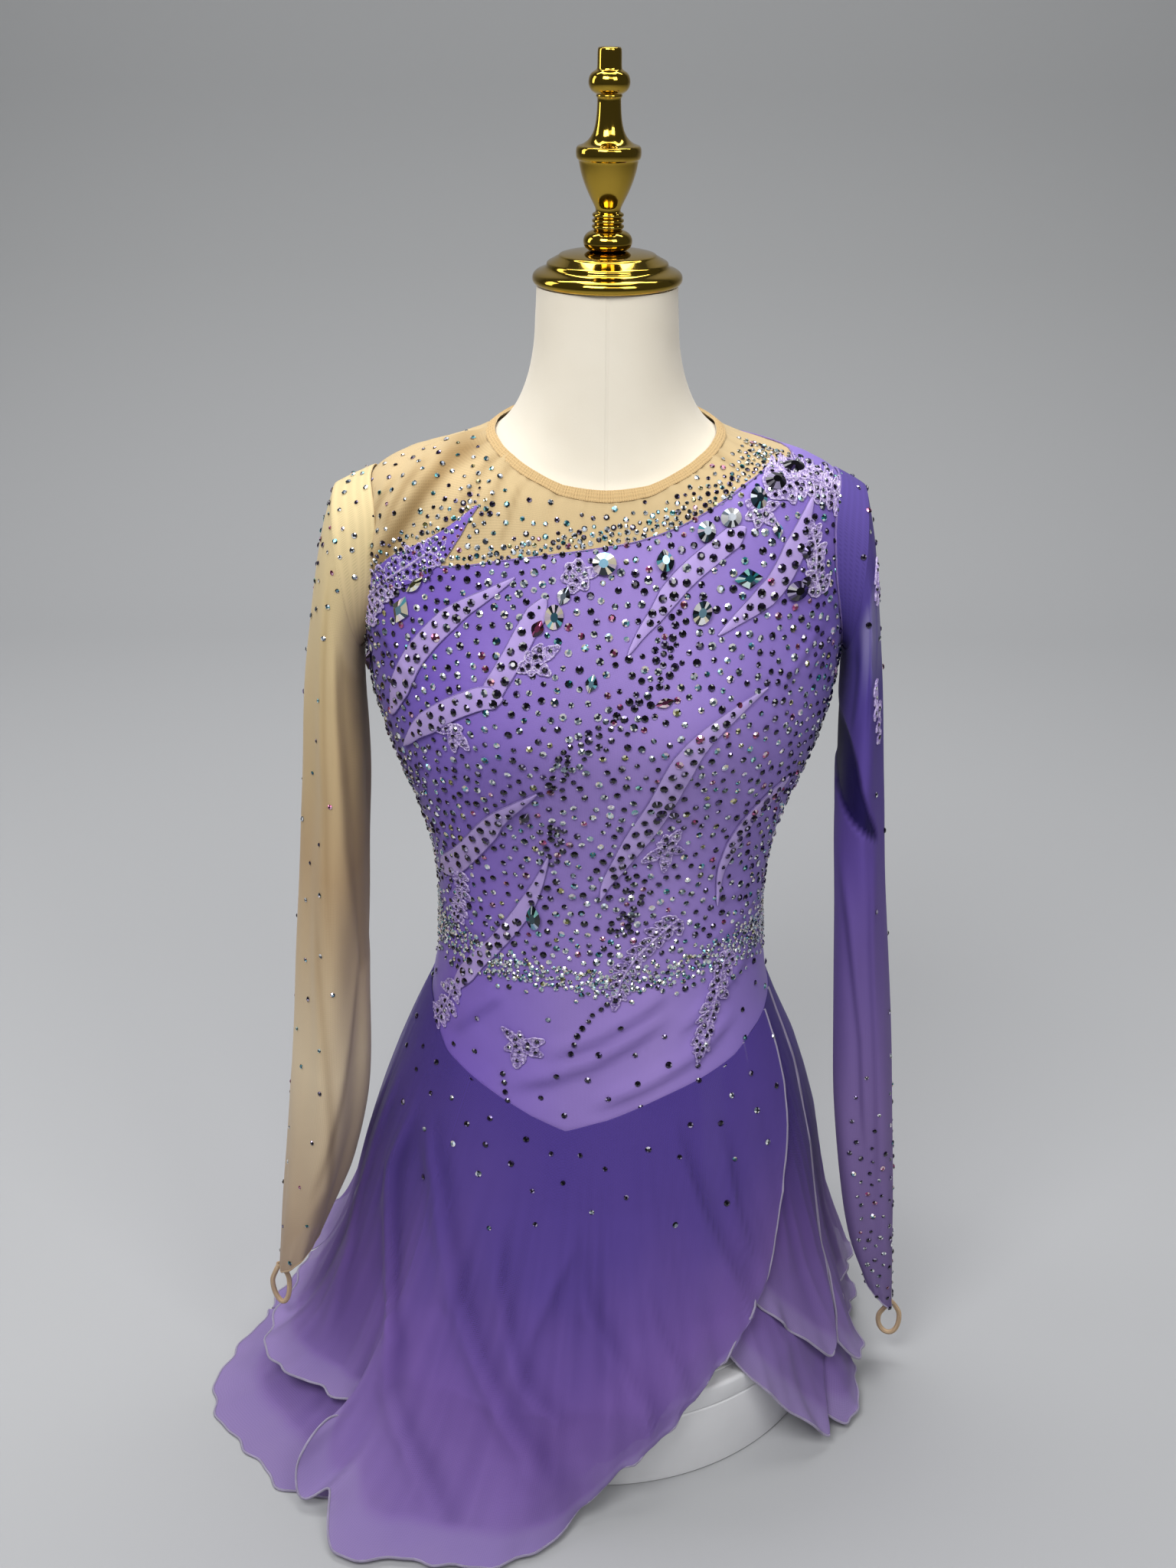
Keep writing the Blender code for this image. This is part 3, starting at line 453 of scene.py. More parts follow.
def weaveBump(tree, shader, spacing, strength, wrinkle=0.0):
    # two sets of threads at right angles, with slack creases on top of them
    uv = addNode(tree, "UVMap", {"uv_map": "cut"}).outputs["UV"]
    # the wave node repeats every pi/10 of its own units
    wave = {"Scale": math.pi/(10*spacing), "Distortion": 0.6, "Detail": 1.0}
    warp, weft = (addNode(tree, "TexWave", {"bands_direction": way, **wave}, {"Vector": uv}).outputs["Fac"]
                  for way in "XY")
    threads = addNode(tree, "Math", {"operation": "MAXIMUM"}, {"0": warp, "1": weft}).outputs[0]
    addBump(tree, shader, threads, strength, weaveLook["threadHeight"])
    if wrinkle:
        crease = addNoise(tree, objectPlace(tree), weaveLook["creaseScale"], 3.0)
        addBump(tree, shader, crease, wrinkle, weaveLook["creaseHeight"])
    return threads


def colourRamp(tree, factor, stops):
    ramp = addNode(tree, "ValToRGB", links={"Fac": factor})
    elements = ramp.color_ramp.elements
    while len(elements) < len(stops):
        elements.new(0.5)
    for element, (position, colour) in zip(elements, stops):
        element.position = position
        element.color = linear(colour)
    return ramp.outputs["Color"]


def clothMaterial(name, stops, drive, spacing, bump, roughness, sheen, alpha=1.0, wrinkle=0.0, mottle=0.12,
                  cloudScale=(9.0, 9.0, 9.0), thin=None):
    # dyed cloth: its colour runs along the piece and breaks up softly; painted shade darkens it between
    # threads, in fold shadows and where the cloth doubles over, and it pales where it is a single sheer
    # layer
    material, tree, shader = newMaterial(name)
    place = objectPlace(tree)
    if drive == "drop":
        run = addNode(tree, "Attribute", {"attribute_name": "drop"}).outputs["Fac"]
    else:
        split = addNode(tree, "SeparateXYZ", links={"Vector": place})
        low, high = drive[1]
        run = addNode(tree, "MapRange", {"From Min": low, "From Max": high},
                      {"Value": split.outputs[drive[0]]}).outputs["Result"]
    spread = addNode(tree, "VectorMath", {"operation": "MULTIPLY", "1": cloudScale}, {"0": place})
    cloud = addNoise(tree, spread.outputs[0], 1.0, 3.0)
    shift = addNode(tree, "Math", {"operation": "MULTIPLY_ADD", "1": mottle, "2": -mottle/2}, {"0": cloud})
    dyed = addNode(tree, "Math", {"operation": "ADD"}, {"0": run, "1": shift.outputs[0]})
    colour = colourRamp(tree, dyed.outputs[0], stops)
    threads = weaveBump(tree, shader, spacing, bump, wrinkle)
    between, onThread = weaveLook["threadShade"]
    shade = addNode(tree, "MapRange", {"To Min": between, "To Max": onThread}, {"Value": threads})
    # painted shade: this attribute darkens and deepens the colour in fold shadows and where the cloth
    # doubles over
    layerShadeFactor = addNode(tree, "Attribute", {"attribute_name": "dense"}).outputs["Fac"]
    darken = addNode(tree, "MapRange", {"To Min": 1.0, "To Max": weaveLook["darkestLayersAndShade"]},
                     {"Value": layerShadeFactor})
    saturatedShade = addNode(tree, "Mix", {"data_type": "RGBA", "blend_type": "MULTIPLY"},
                   {"Factor": layerShadeFactor, "6": colour, "7": colour})
    both = addNode(tree, "Math", {"operation": "MULTIPLY"},
                   {"0": shade.outputs["Result"], "1": darken.outputs["Result"]})
    mixed = addNode(tree, "Mix", {"data_type": "RGBA", "blend_type": "MULTIPLY", "Factor": 1.0})
    tree.links.new(saturatedShade.outputs[2], mixed.inputs[6])
    tree.links.new(both.outputs[0], mixed.inputs[7])
    shown = mixed.outputs[2]
    if thin:
        single = addNode(tree, "MapRange", {"From Min": 0.0, "From Max": -1.0}, {"Value": layerShadeFactor})
        shown = addNode(tree, "Mix", {"data_type": "RGBA", "7": linear(thin)},
                        {"Factor": single.outputs["Result"], "6": shown}).outputs[2]
    tree.links.new(shown, shader.inputs["Base Color"])
    setInputs(shader, {"Roughness": roughness, "Sheen Weight": sheen, "Sheen Roughness": 0.5,
                       "Specular IOR Level": 0.2, "Alpha": alpha})
    return material


# for each cloth: its colours, what they run along, spacing of its threads, bump, roughness, sheen

# nylon stretch mesh dyed to skin: matt, a little see-through, threads drawn 1 mm apart to show
nudeMesh = clothMaterial("nudeStretchMesh", ((0, "CFB78A"), (1, "C9B186")), ("Z", (0.55, 0.72)),
                         0.0010, 0.25, 0.8, 0.1, alpha=0.93)
nudeSleeveMesh = clothMaterial("nudeSleeveMesh", ((0, "A68C76"), (0.33, "DCC8A8"), (0.58, "BEA27C"),
                                                  (1, "E0CC9C")),
                               ("Z", (0.10, 0.68)), 0.0010, 0.25, 0.8, 0.1, alpha=0.82)
# polyamide jersey, airbrushed darker to its sides: soft sheen, fine wales drawn 0.8 mm apart
lilacJersey = clothMaterial("lilacJersey", ((0, "6048A8"), (0.18, "785CBC"), (0.42, "9078C0"),
                                            (0.62, "9A82C8"), (0.85, "8C74C4"), (1, "6C54B0")),
                            ("X", (-0.16, 0.16)), 0.0008, 0.2, 0.65, 0.15, mottle=0.20)
# sheer stretch mesh in violet, dyed lighter towards the elbow and the hand
violetMesh = clothMaterial("violetStretchMesh", ((0, "786696"), (0.3, "826CA6"), (0.62, "644E9E"),
                                                 (0.85, "4E4090"), (1, "5A4A96")),
                           ("Z", (0.05, 0.68)), 0.0010, 0.25, 0.75, 0.03, alpha=0.86, thin="A8A2C4")
# polyester chiffon, dip dyed from dark violet at the seam to lilac at the hem: matt and sheer
chiffon = clothMaterial("chiffonDipDyed", ((0, "564299"), (0.25, "624C9F"), (0.55, "8062B0"),
                                           (0.85, "896FB3"), (1, "9078B2")),
                        "drop", 0.0011, 0.35, 0.85, 0.1, alpha=0.68, wrinkle=0.2, mottle=0.30,
                        cloudScale=(16.0, 16.0, 5.0), thin="A69CC6")
# satin-backed elastane of the flame strips: pale, with a soft shine
stripSatin = clothMaterial("paleStripSatin", ((0, "AC96D2"), (1, "B49EDA")), ("X", (-0.15, 0.15)),
                           0.0007, 0.15, 0.45, 0.2)
# woolly overlock thread that rolls the hems: greyer than the chiffon, so it draws a line
overlockThread = clothMaterial("overlockThread", ((0, "A79CBC"), (1, "B4AAC6")), ("Z", (0, 0.3)),
                               0.0012, 0.9, 0.8, 0.3)
stripThread = clothMaterial("stripStitching", ((0, "8468BC"), (1, "9078C4")), ("Z", (0.3, 0.7)),
                            0.0010, 0.9, 0.7, 0.3)
# rayon embroidery thread of the lace: silky and pale, with violet showing between the stitches
laceThread = clothMaterial("laceEmbroidery", ((0, "664A9A"), (0.35, "9C86C6"), (0.55, "CCBAE6"),
                                              (1, "F0E8FC")),
                           ("Z", (-0.8, 2.0)), 0.0008, 0.9, 0.5, 0.3, mottle=1.6,
                           cloudScale=(520.0, 520.0, 520.0))
# knitted elastic binding, and the braided elastic of the finger loops
elasticBinding = clothMaterial("elasticBinding", ((0, "C4A888"), (1, "C6A878")), ("Z", (0.1, 0.6)),
                               0.0015, 0.8, 0.8, 0.1)


def linenMaterial():
    # bleached linen drawn tight over the form: dry, off-white, with a stitched seam up the front
    material, tree, shader = newMaterial("bleachedLinen")
    place = objectPlace(tree)
    fibre = addNoise(tree, place, 900.0, 2.0)
    colour = colourRamp(tree, addNoise(tree, place, 14.0, 3.0), ((0.25, "DDD4C2"), (0.75, "E8E1D2")))
    split = addNode(tree, "SeparateXYZ", links={"Vector": place})
    away = addNode(tree, "Math", {"operation": "ABSOLUTE"}, {"0": split.outputs["X"]})
    seam = addNode(tree, "MapRange", {"From Min": 0.0003, "From Max": 0.0012}, {"Value": away.outputs[0]})
    height = addNode(tree, "Math", {"operation": "MULTIPLY_ADD", "1": 0.12},
                     {"0": fibre, "2": seam.outputs["Result"]})
    addBump(tree, shader, height.outputs[0], 0.6, 0.0005)
    tree.links.new(colour, shader.inputs["Base Color"])
    setInputs(shader, {"Roughness": 0.9, "Sheen Weight": 0.2})
    return material


def goldMaterial():
    # zinc alloy plated in bright gold: a mirror with faint handling smears
    material, tree, shader = newMaterial("brightGoldPlating")
    smear = addNoise(tree, objectPlace(tree), 60.0, 4.0)
    rough = addNode(tree, "MapRange", {"To Min": 0.04, "To Max": 0.13}, {"Value": smear})
    tree.links.new(rough.outputs["Result"], shader.inputs["Roughness"])
    setInputs(shader, {"Base Color": linear("B8983A"), "Metallic": 1.0})
    return material


def plinthMaterial():
    # moulded ABS in satin white, with the fine grain of the mould
    material, tree, shader = newMaterial("satinWhiteABS")
    place = objectPlace(tree)
    colour = colourRamp(tree, addNoise(tree, place, 12.0, 4.0), ((0.3, "DADADC"), (0.7, "E6E6E8")))
    tree.links.new(colour, shader.inputs["Base Color"])
    addBump(tree, shader, addNoise(tree, place, 700.0, 1.0), 0.15, 0.0002)
    setInputs(shader, {"Roughness": 0.38, "IOR": 1.53})
    return material


def crystalMaterial():
    # cut glass with a foiled back: each facet keeps its own colour, the coating's tint with painted glints
    # and painted dark reflections
    material, tree, shader = newMaterial("foiledCutGlass")
    tint = addNode(tree, "VertexColor", {"layer_name": "facetTintAndGlint"})
    tree.links.new(tint.outputs["Color"], shader.inputs["Base Color"])
    setInputs(shader, {"Metallic": 0.6, "Roughness": 0.07, "Coat Weight": 1.0, "Coat Roughness": 0.03})
    return material


formLinen = linenMaterial()
goldPlating = goldMaterial()
plinthPlastic = plinthMaterial()
cutGlass = crystalMaterial()
print("materials made")


# The form and its fittings

formPiece = {"sides": 144, "stepsPerLevel": 7, "sink": 0.0006}


def buildForm(sizes):
    levels = (len(formShape["rings"]) - 1)*sizes["stepsPerLevel"]
    sides = sizes["sides"]
    points, faces = [], []
    for j in range(levels + 1):
        level = j/sizes["stepsPerLevel"]
        points += [formPoint(2*math.pi*i/sides, level, -sizes["sink"]) for i in range(sides)]
    for j in range(levels):
        for i in range(sides):
            k = (i + 1) % sides
            faces.append((j*sides + i, j*sides + k, (j + 1)*sides + k, (j + 1)*sides + i))
    faces.append(tuple(range(sides))[::-1])
    faces.append(tuple(range(levels*sides, (levels + 1)*sides)))
    piece = meshPiece("formBody", points, faces, formLinen)
    smooth(piece, 40)
    rideRoot(piece, "form_linen", "dress_form")


def turnedPiece(name, profile, material, sides=96, levels=0):
    # a circle is drawn up its profile by extruding and scaling its rim
    deselectAll()
    radius, z = profile[0]
    bpy.ops.mesh.primitive_circle_add(vertices=sides, radius=radius, location=(0, 0, z), fill_type="NGON")
    piece = bpy.context.object
    piece.name = piece.data.name = name
    setMode("EDIT")
    bpy.ops.mesh.select_all(action="SELECT")
    for (r0, z0), (r1, z1) in zip(profile, profile[1:]):
        bpy.ops.mesh.extrude_region_move(TRANSFORM_OT_translate={"value": (0, 0, z1 - z0)})
        scale = r1/r0
        bpy.ops.transform.resize(value=(scale, scale, 1), center_override=(0, 0, z1))
    setMode("OBJECT")
    faceOutward(piece)
    bpy.ops.object.transform_apply(location=True, rotation=True, scale=True)
    piece.data.materials.clear()
    piece.data.materials.append(material)
    if levels:
        applyModifier(piece, "SUBSURF", levels=levels, render_levels=levels)
    smooth(piece, 32)
    return piece


# radius and height up each turned profile
neckPlateProfile = metres((
    (425, 8083), (446, 8085), (459, 8100), (463, 8118), (459, 8138), (447, 8154), (425, 8166),
    (398, 8176), (380, 8186), (375, 8194), (374, 8203), (370, 8212), (362, 8217), (350, 8223),
    (328, 8235), (306, 8248), (300, 8252), (297, 8257), (286, 8262), (240, 8272), (180, 8280),
    (120, 8281),
))
finialProfile = metres((
    (112, 8283), (120, 8287), (138, 8298), (149, 8318), (151, 8342), (144, 8366), (126, 8386), (98, 8399),
    (84, 8403), (82, 8407), (96, 8412), (99, 8422), (96, 8432), (82, 8437), (82, 8441), (95, 8446),
    (98, 8456), (95, 8466), (81, 8471), (81, 8475), (94, 8480), (97, 8490), (94, 8500), (78, 8506),
    (74, 8514), (80, 8535), (96, 8565), (122, 8615), (150, 8680), (170, 8745), (179, 8795), (181, 8806),
    (188, 8810), (195, 8820), (197, 8845), (196, 8872), (188, 8886), (170, 8891), (150, 8898),
    (122, 8918), (98, 8950), (82, 8995), (73, 9060), (70, 9140), (71, 9155), (78, 9160), (79, 9168),
    (74, 9174), (90, 9180), (112, 9196), (123, 9222), (125, 9245), (119, 9275), (104, 9295), (82, 9306),
    (74, 9312), (72, 9325), (72, 9415), (69, 9428), (60, 9434), (30, 9435),
))
plinthSizes = {"radius": 0.177, "lidTop": 0.0742, "seam": 0.0575, "gap": 0.0006, "edge": 0.0030}


def buildFittings():
    plate = turnedPiece("neckPlate", neckPlateProfile, goldPlating, levels=1)
    rideRoot(plate, "gold_metal", "neck_plate")
    finial = turnedPiece("finialPost", finialProfile, goldPlating, sides=64, levels=1)
    rideRoot(finial, "gold_metal", "finial")
    size = plinthSizes
    r, e, low, high = size["radius"], size["edge"], size["seam"], size["lidTop"]
    drum = [(r - 0.004, 0.0), (r - 0.0012, 0.0004), (r - 0.0002, 0.0016), (r, 0.004), (r, 0.028),
            (r, low - 0.003), (r - 0.0003, low - 0.0014), (r - 0.0014, low - size["gap"]),
            (r - 0.02, low - size["gap"])]
    rim = [(r - e*(1 - math.sin(a)), high - e*(1 - math.cos(a)))
           for a in (math.radians(d) for d in (90, 70, 50, 30, 10, 0))]
    lid = [(r - 0.02, low), (r - 0.0014, low), (r - 0.0004, low + 0.0008), (r, low + 0.002)]
    lid += rim + [(r - 0.012, high), (r - 0.0128, high - 0.0005), (r - 0.0136, high), (0.05, high)]
    rideRoot(turnedPiece("plinthDrum", drum, plinthPlastic, sides=192), "plinth_plastic", "plinth_drum")
    rideRoot(turnedPiece("plinthLid", lid, plinthPlastic, sides=192), "plinth_plastic", "plinth_disc")


buildForm(formPiece)
buildFittings()
print("form, plate, finial and plinth made")


# Bodice and yoke: panels that follow the form, with the creases that the cloth shows

bodiceSizes = {"out": 0.0019, "wall": 0.0008, "yokeOut": 0.0016, "across": 112, "up": 112,
               "shoulderCells": 10, "armRightCells": 40, "armLeftCells": 28, "yokeUp": 34, "yokeSide": 26,
               "seamOut": 0.0004}
# folds on the body: height, half width, darkness of the shade painted on their shaded side, then the ridge
# across and up; the shaded side is on the right of the ridge's way
bodyFolds = metres((
    (22, 85, 0.3, ((-700, 2780), (-330, 2900), (-50, 3020), (220, 3190), (500, 3380))),
    (20, 75, 0.26, ((-440, 3020), (-20, 3210), (250, 3380), (480, 3540))),
    (22, 75, 0.28, ((-120, 2660), (300, 2830), (650, 3020), (960, 3280))),
    (18, 60, 0.24, ((480, 3180), (720, 3350), (900, 3520), (1040, 3720))),
    (12, 65, 0.2, ((-1060, 3020), (-860, 3270), (-660, 3470))),
    (10, 50, 0.2, ((700, 3840), (920, 3940), (1120, 4100))),
    (8, 50, 0.16, ((740, 4140), (940, 4200), (1140, 4320))),
    (8, 50, 0.16, ((-1140, 3980), (-940, 3900), (-700, 3860))),
    (6, 50, 0.14, ((-600, 4400), (-200, 4300), (200, 4320))),
    (14, 40, 0.25, ((1080, 5740), (1220, 5920), (1380, 6140))),
    (12, 36, 0.25, ((1260, 5780), (1360, 5920), (1500, 6040))),
    (12, 40, 0.22, ((-1460, 6060), (-1320, 5920), (-1140, 5740))),
))
# drape folds of the nude yoke, from the armhole up to the neck, with shade painted beside them
yokeFolds = metres((
    (44, 70, 0.68, ((-1520, 6290), (-1420, 6440), (-1360, 6580), (-1250, 6760), (-1130, 6930),
     (-980, 7060), (-820, 7140), (-680, 7220))),
    (20, 50, 0.4, ((-1360, 6640), (-1320, 6780), (-1240, 6920), (-1080, 7060))),
    (10, 40, 0.3, ((-1040, 6640), (-920, 6840), (-780, 7020), (-620, 7160))),
    (10, 40, 0.28, ((-840, 6680), (-740, 6860), (-640, 7020), (-540, 7140))),
    (8, 35, 0.24, ((-660, 6640), (-600, 6820), (-530, 7000))),
    (7, 35, 0.2, ((820, 7000), (700, 7060), (580, 7160))),
    (12, 32, 0.28, ((-1540, 6180), (-1490, 6460), (-1430, 6760), (-1280, 7000))),
))
# small unevenness of stretched cloth: how high, how fine
clothNoise = ((0.0004, 60), (0.00025, 140))
# gathers at the yoke's neck edge: height, how far down in levels, how many, darkness of the shade painted
# in their hollows, and slack between them
yokeGathers = {"rise": 0.0009, "fall": 1.6, "count": 58, "dark": 0.14, "slack": 0.0005}


def besideLine(line, x, z):
    # how far a place lies to the right of a line, and how far along it, from 0 to 1
    best = None
    for k, ((x0, z0), (x1, z1)) in enumerate(zip(line, line[1:])):
        dx, dz = x1 - x0, z1 - z0
        t = min(max(((x - x0)*dx + (z - z0)*dz)/(dx*dx + dz*dz), 0.0), 1.0)
        away = math.hypot(x - x0 - t*dx, z - z0 - t*dz)
        if best is None or away < best[0]:
            best = (away, math.copysign(away, dz*(x - x0) - dx*(z - z0)), (k + t)/(len(line) - 1))
    return best[1], best[2]


def foldRelief(folds, x, z):
    height, dense = 0.0, 0.0
    for rise, halfWidth, dark, line in folds:
        reach = 3*halfWidth
        if not min(p[0] for p in line) - reach < x < max(p[0] for p in line) + reach:
            continue
        if not min(p[1] for p in line) - reach < z < max(p[1] for p in line) + reach:
            continue
        aside, share = besideLine(line, x, z)
        ends = fade(share, 0.0, 0.22)*fade(share, 1.0, 0.78)
        width = halfWidth*(0.55 if aside > 0 else 1.0)
        height += rise*ends*math.exp(-(aside/width)**2)
        # painted shade on the fold's steep side
        dense += dark*ends*math.exp(-((aside/halfWidth - 0.55)/0.5)**2)
    return height, dense


def bodyRelief(turn, level):
    point = barePoint(turn, level)
    height = sum(rise*noise.noise(point*fine) for rise, fine in clothNoise)
    if math.cos(turn) < -0.1:
        return height, 0.0
    fold, dense = foldRelief(bodyFolds, point.x, point.z)
    return height + fold, dense


def yokeRelief(turn, level):
    # the mesh gathers into its neck binding, with shade painted in the hollows between the gathers
    look, point = yokeGathers, barePoint(turn, level)
    below = neckLevel(turn) - level
    gathers = math.exp(-below/look["fall"])*fade(below, 0.0, 0.3)
    ripple = math.sin(turn*look["count"] + 3*math.sin(turn*7))*(0.6 + 0.4*math.sin(turn*23))
    slack = noise.noise(Vector((point.x*70, point.y*70, point.z*18)))
    height = look["rise"]*gathers*ripple + look["slack"]*slack
    dense = look["dark"]*gathers*max(0.0, -ripple)
    if math.cos(turn) < 0:
        return height, dense
    fold, shade = foldRelief(yokeFolds, point.x, point.z)
    return height + fold, dense + shade


def bodyPanel(name, bottom, top, left, right, material, out, relief):
    grid, dense = [], []
    for line in patch(bottom, top, left, right):
        made = [(turn, level, *relief(turn, level)) for turn, level in line]
        grid.append([formPoint(turn, level, out + height) for turn, level, height, _ in made])
        dense.append([row[3] for row in made])
    return clothSheet(name, grid, material, bodiceSizes["wall"], dense=dense)


def joined(*parts):
    # lines end to end, each with its own count of cells
    made = spaced(*parts[0])
    for line, count in parts[1:]:
        made += spaced(line, count)[1:]
    return made


def buildBody(sizes):
    armpit = seams["armholeLevel"] - seams["armholeRise"]
    tip = seams["armholeLevel"] + seams["armholeRise"]
    quarter = math.pi/2
    frontLine = [placeOn(x, z) for x, z in rounded(seams["yokeFront"], 4)]
    frontLine[0] = armholePoint(-1, math.radians(armholeAngle(frontLine[0][1])))
    startAngle = armholeAngle(frontLine[0][1])
    shoulder = (quarter, seams["shoulderLevel"])
    backLine = [placeOn(x, z, back=True) for x, z in rounded(seams["yokeBack"], 4)]
    backAngle = armholeAngle(backLine[-1][1])
    backLine[-1] = around([armholePoint(-1, -math.radians(backAngle))])[0]
    across, up, cap = sizes["across"], sizes["up"], sizes["shoulderCells"]
    right, left, yokeUp, side = (sizes[k] for k in ("armRightCells", "armLeftCells", "yokeUp", "yokeSide"))
    frontShared = spaced(frontLine + [shoulder], across - cap)
    backShared = spaced([shoulder] + backLine, across - cap)
    tipRight, tipLeft, neckRight = (quarter, tip), (3*quarter, tip), (quarter, neckLevel(quarter))
    hipLeft, hipRight, hipBack = hipLine(-90, -90, 1)[0], hipLine(90, 90, 1)[0], hipLine(270, 270, 1)[0]
    capLine = spaced([shoulder, tipRight], cap)
    shoulderLine = spaced([shoulder, neckRight], yokeUp)
    out, yokeOut = sizes["out"], sizes["yokeOut"]
    front = bodyPanel(
        "bodiceFront", spaced(hipLine(-90, 90), across), frontShared + capLine[1:],
        joined(([hipLeft, (-quarter, armpit)], up - left), (armholeLine(-1, 180, startAngle), left)),
        joined(([hipRight, (quarter, armpit)], up - right), (armholeLine(1, 180, 0), right)),
        lilacJersey, out, bodyRelief)
    back = bodyPanel(
        "bodiceBack", spaced(hipLine(90, 270), across), spaced([tipRight, shoulder], cap) + backShared[1:],
        joined(([hipRight, (quarter, armpit)], up - right), (armholeLine(1, 180, 0, back=True), right)),
        joined(([hipBack, (3*quarter, armpit)], up - left),
               (around(armholeLine(-1, 180, backAngle, back=True)), left)),
        lilacJersey, out, bodyRelief)
    yokeFront = bodyPanel(
        "yokeFront", frontShared,
        joined(([(-quarter, tip), (-quarter, neckLevel(-quarter))], side),
               (neckLine(-90, 90), across - cap - side)),
        spaced(armholeLine(-1, startAngle, 0), yokeUp), shoulderLine, nudeMesh, yokeOut, yokeRelief)
    yokeBack = bodyPanel(
        "yokeBack", backShared,
        joined((neckLine(90, 270), across - cap - side),
               ([(3*quarter, neckLevel(quarter)), tipLeft], side)),
        shoulderLine, spaced(around(armholeLine(-1, backAngle, 0, back=True)), yokeUp),
        nudeMesh, yokeOut, yokeRelief)
    for piece, node in ((front, "bodice_front"), (back, "bodice_back")):
        rideRoot(piece, "lilac_jersey", node)
    for piece, node in ((yokeFront, "yoke_front"), (yokeBack, "yoke_back")):
        rideRoot(piece, "nude_mesh", node)
    seam = [formPoint(turn, level, out + sizes["seamOut"] + bodyRelief(turn, level)[0])
            for turn, level in frontShared + backShared[1:]]
    piping = cordPiece("yokeSeamStitching", seam, 0.0006, 6, stripThread)
    rideRoot(piping, "lilac_jersey")
    return front, yokeFront


neckBandSizes = {"width": 0.0065, "out": 0.0024, "crown": 0.0003, "ribs": 230, "rib": 0.00018,
                 "columns": 920, "rows": 8, "wall": 0.0008}


def buildNeckBand(sizes):
    grid = []
    for j in range(sizes["rows"] + 1):
        v = j/sizes["rows"]
        line = []
        for i in range(sizes["columns"]):
            turn = 2*math.pi*i/sizes["columns"]
            level = neckLevel(turn)
            reach = (barePoint(turn, level) - barePoint(turn, level - 0.1)).length/0.1
            down = sizes["width"]*(1 - v)/reach
            lift = sizes["crown"]*math.sin(math.pi*v) + sizes["rib"]*math.sin(turn*sizes["ribs"])
            line.append(formPoint(turn, level - down, sizes["out"] + lift))
        grid.append(line)
    band = clothSheet("neckBinding", grid, elasticBinding, sizes["wall"], closed=True)
    rideRoot(band, "nude_mesh", "neck_band")


bodiceFront, yokeFront = buildBody(bodiceSizes)
buildNeckBand(neckBandSizes)
print("bodice, yoke and neck binding made")


# Sleeves: sections from the shoulder down, then long hanging folds

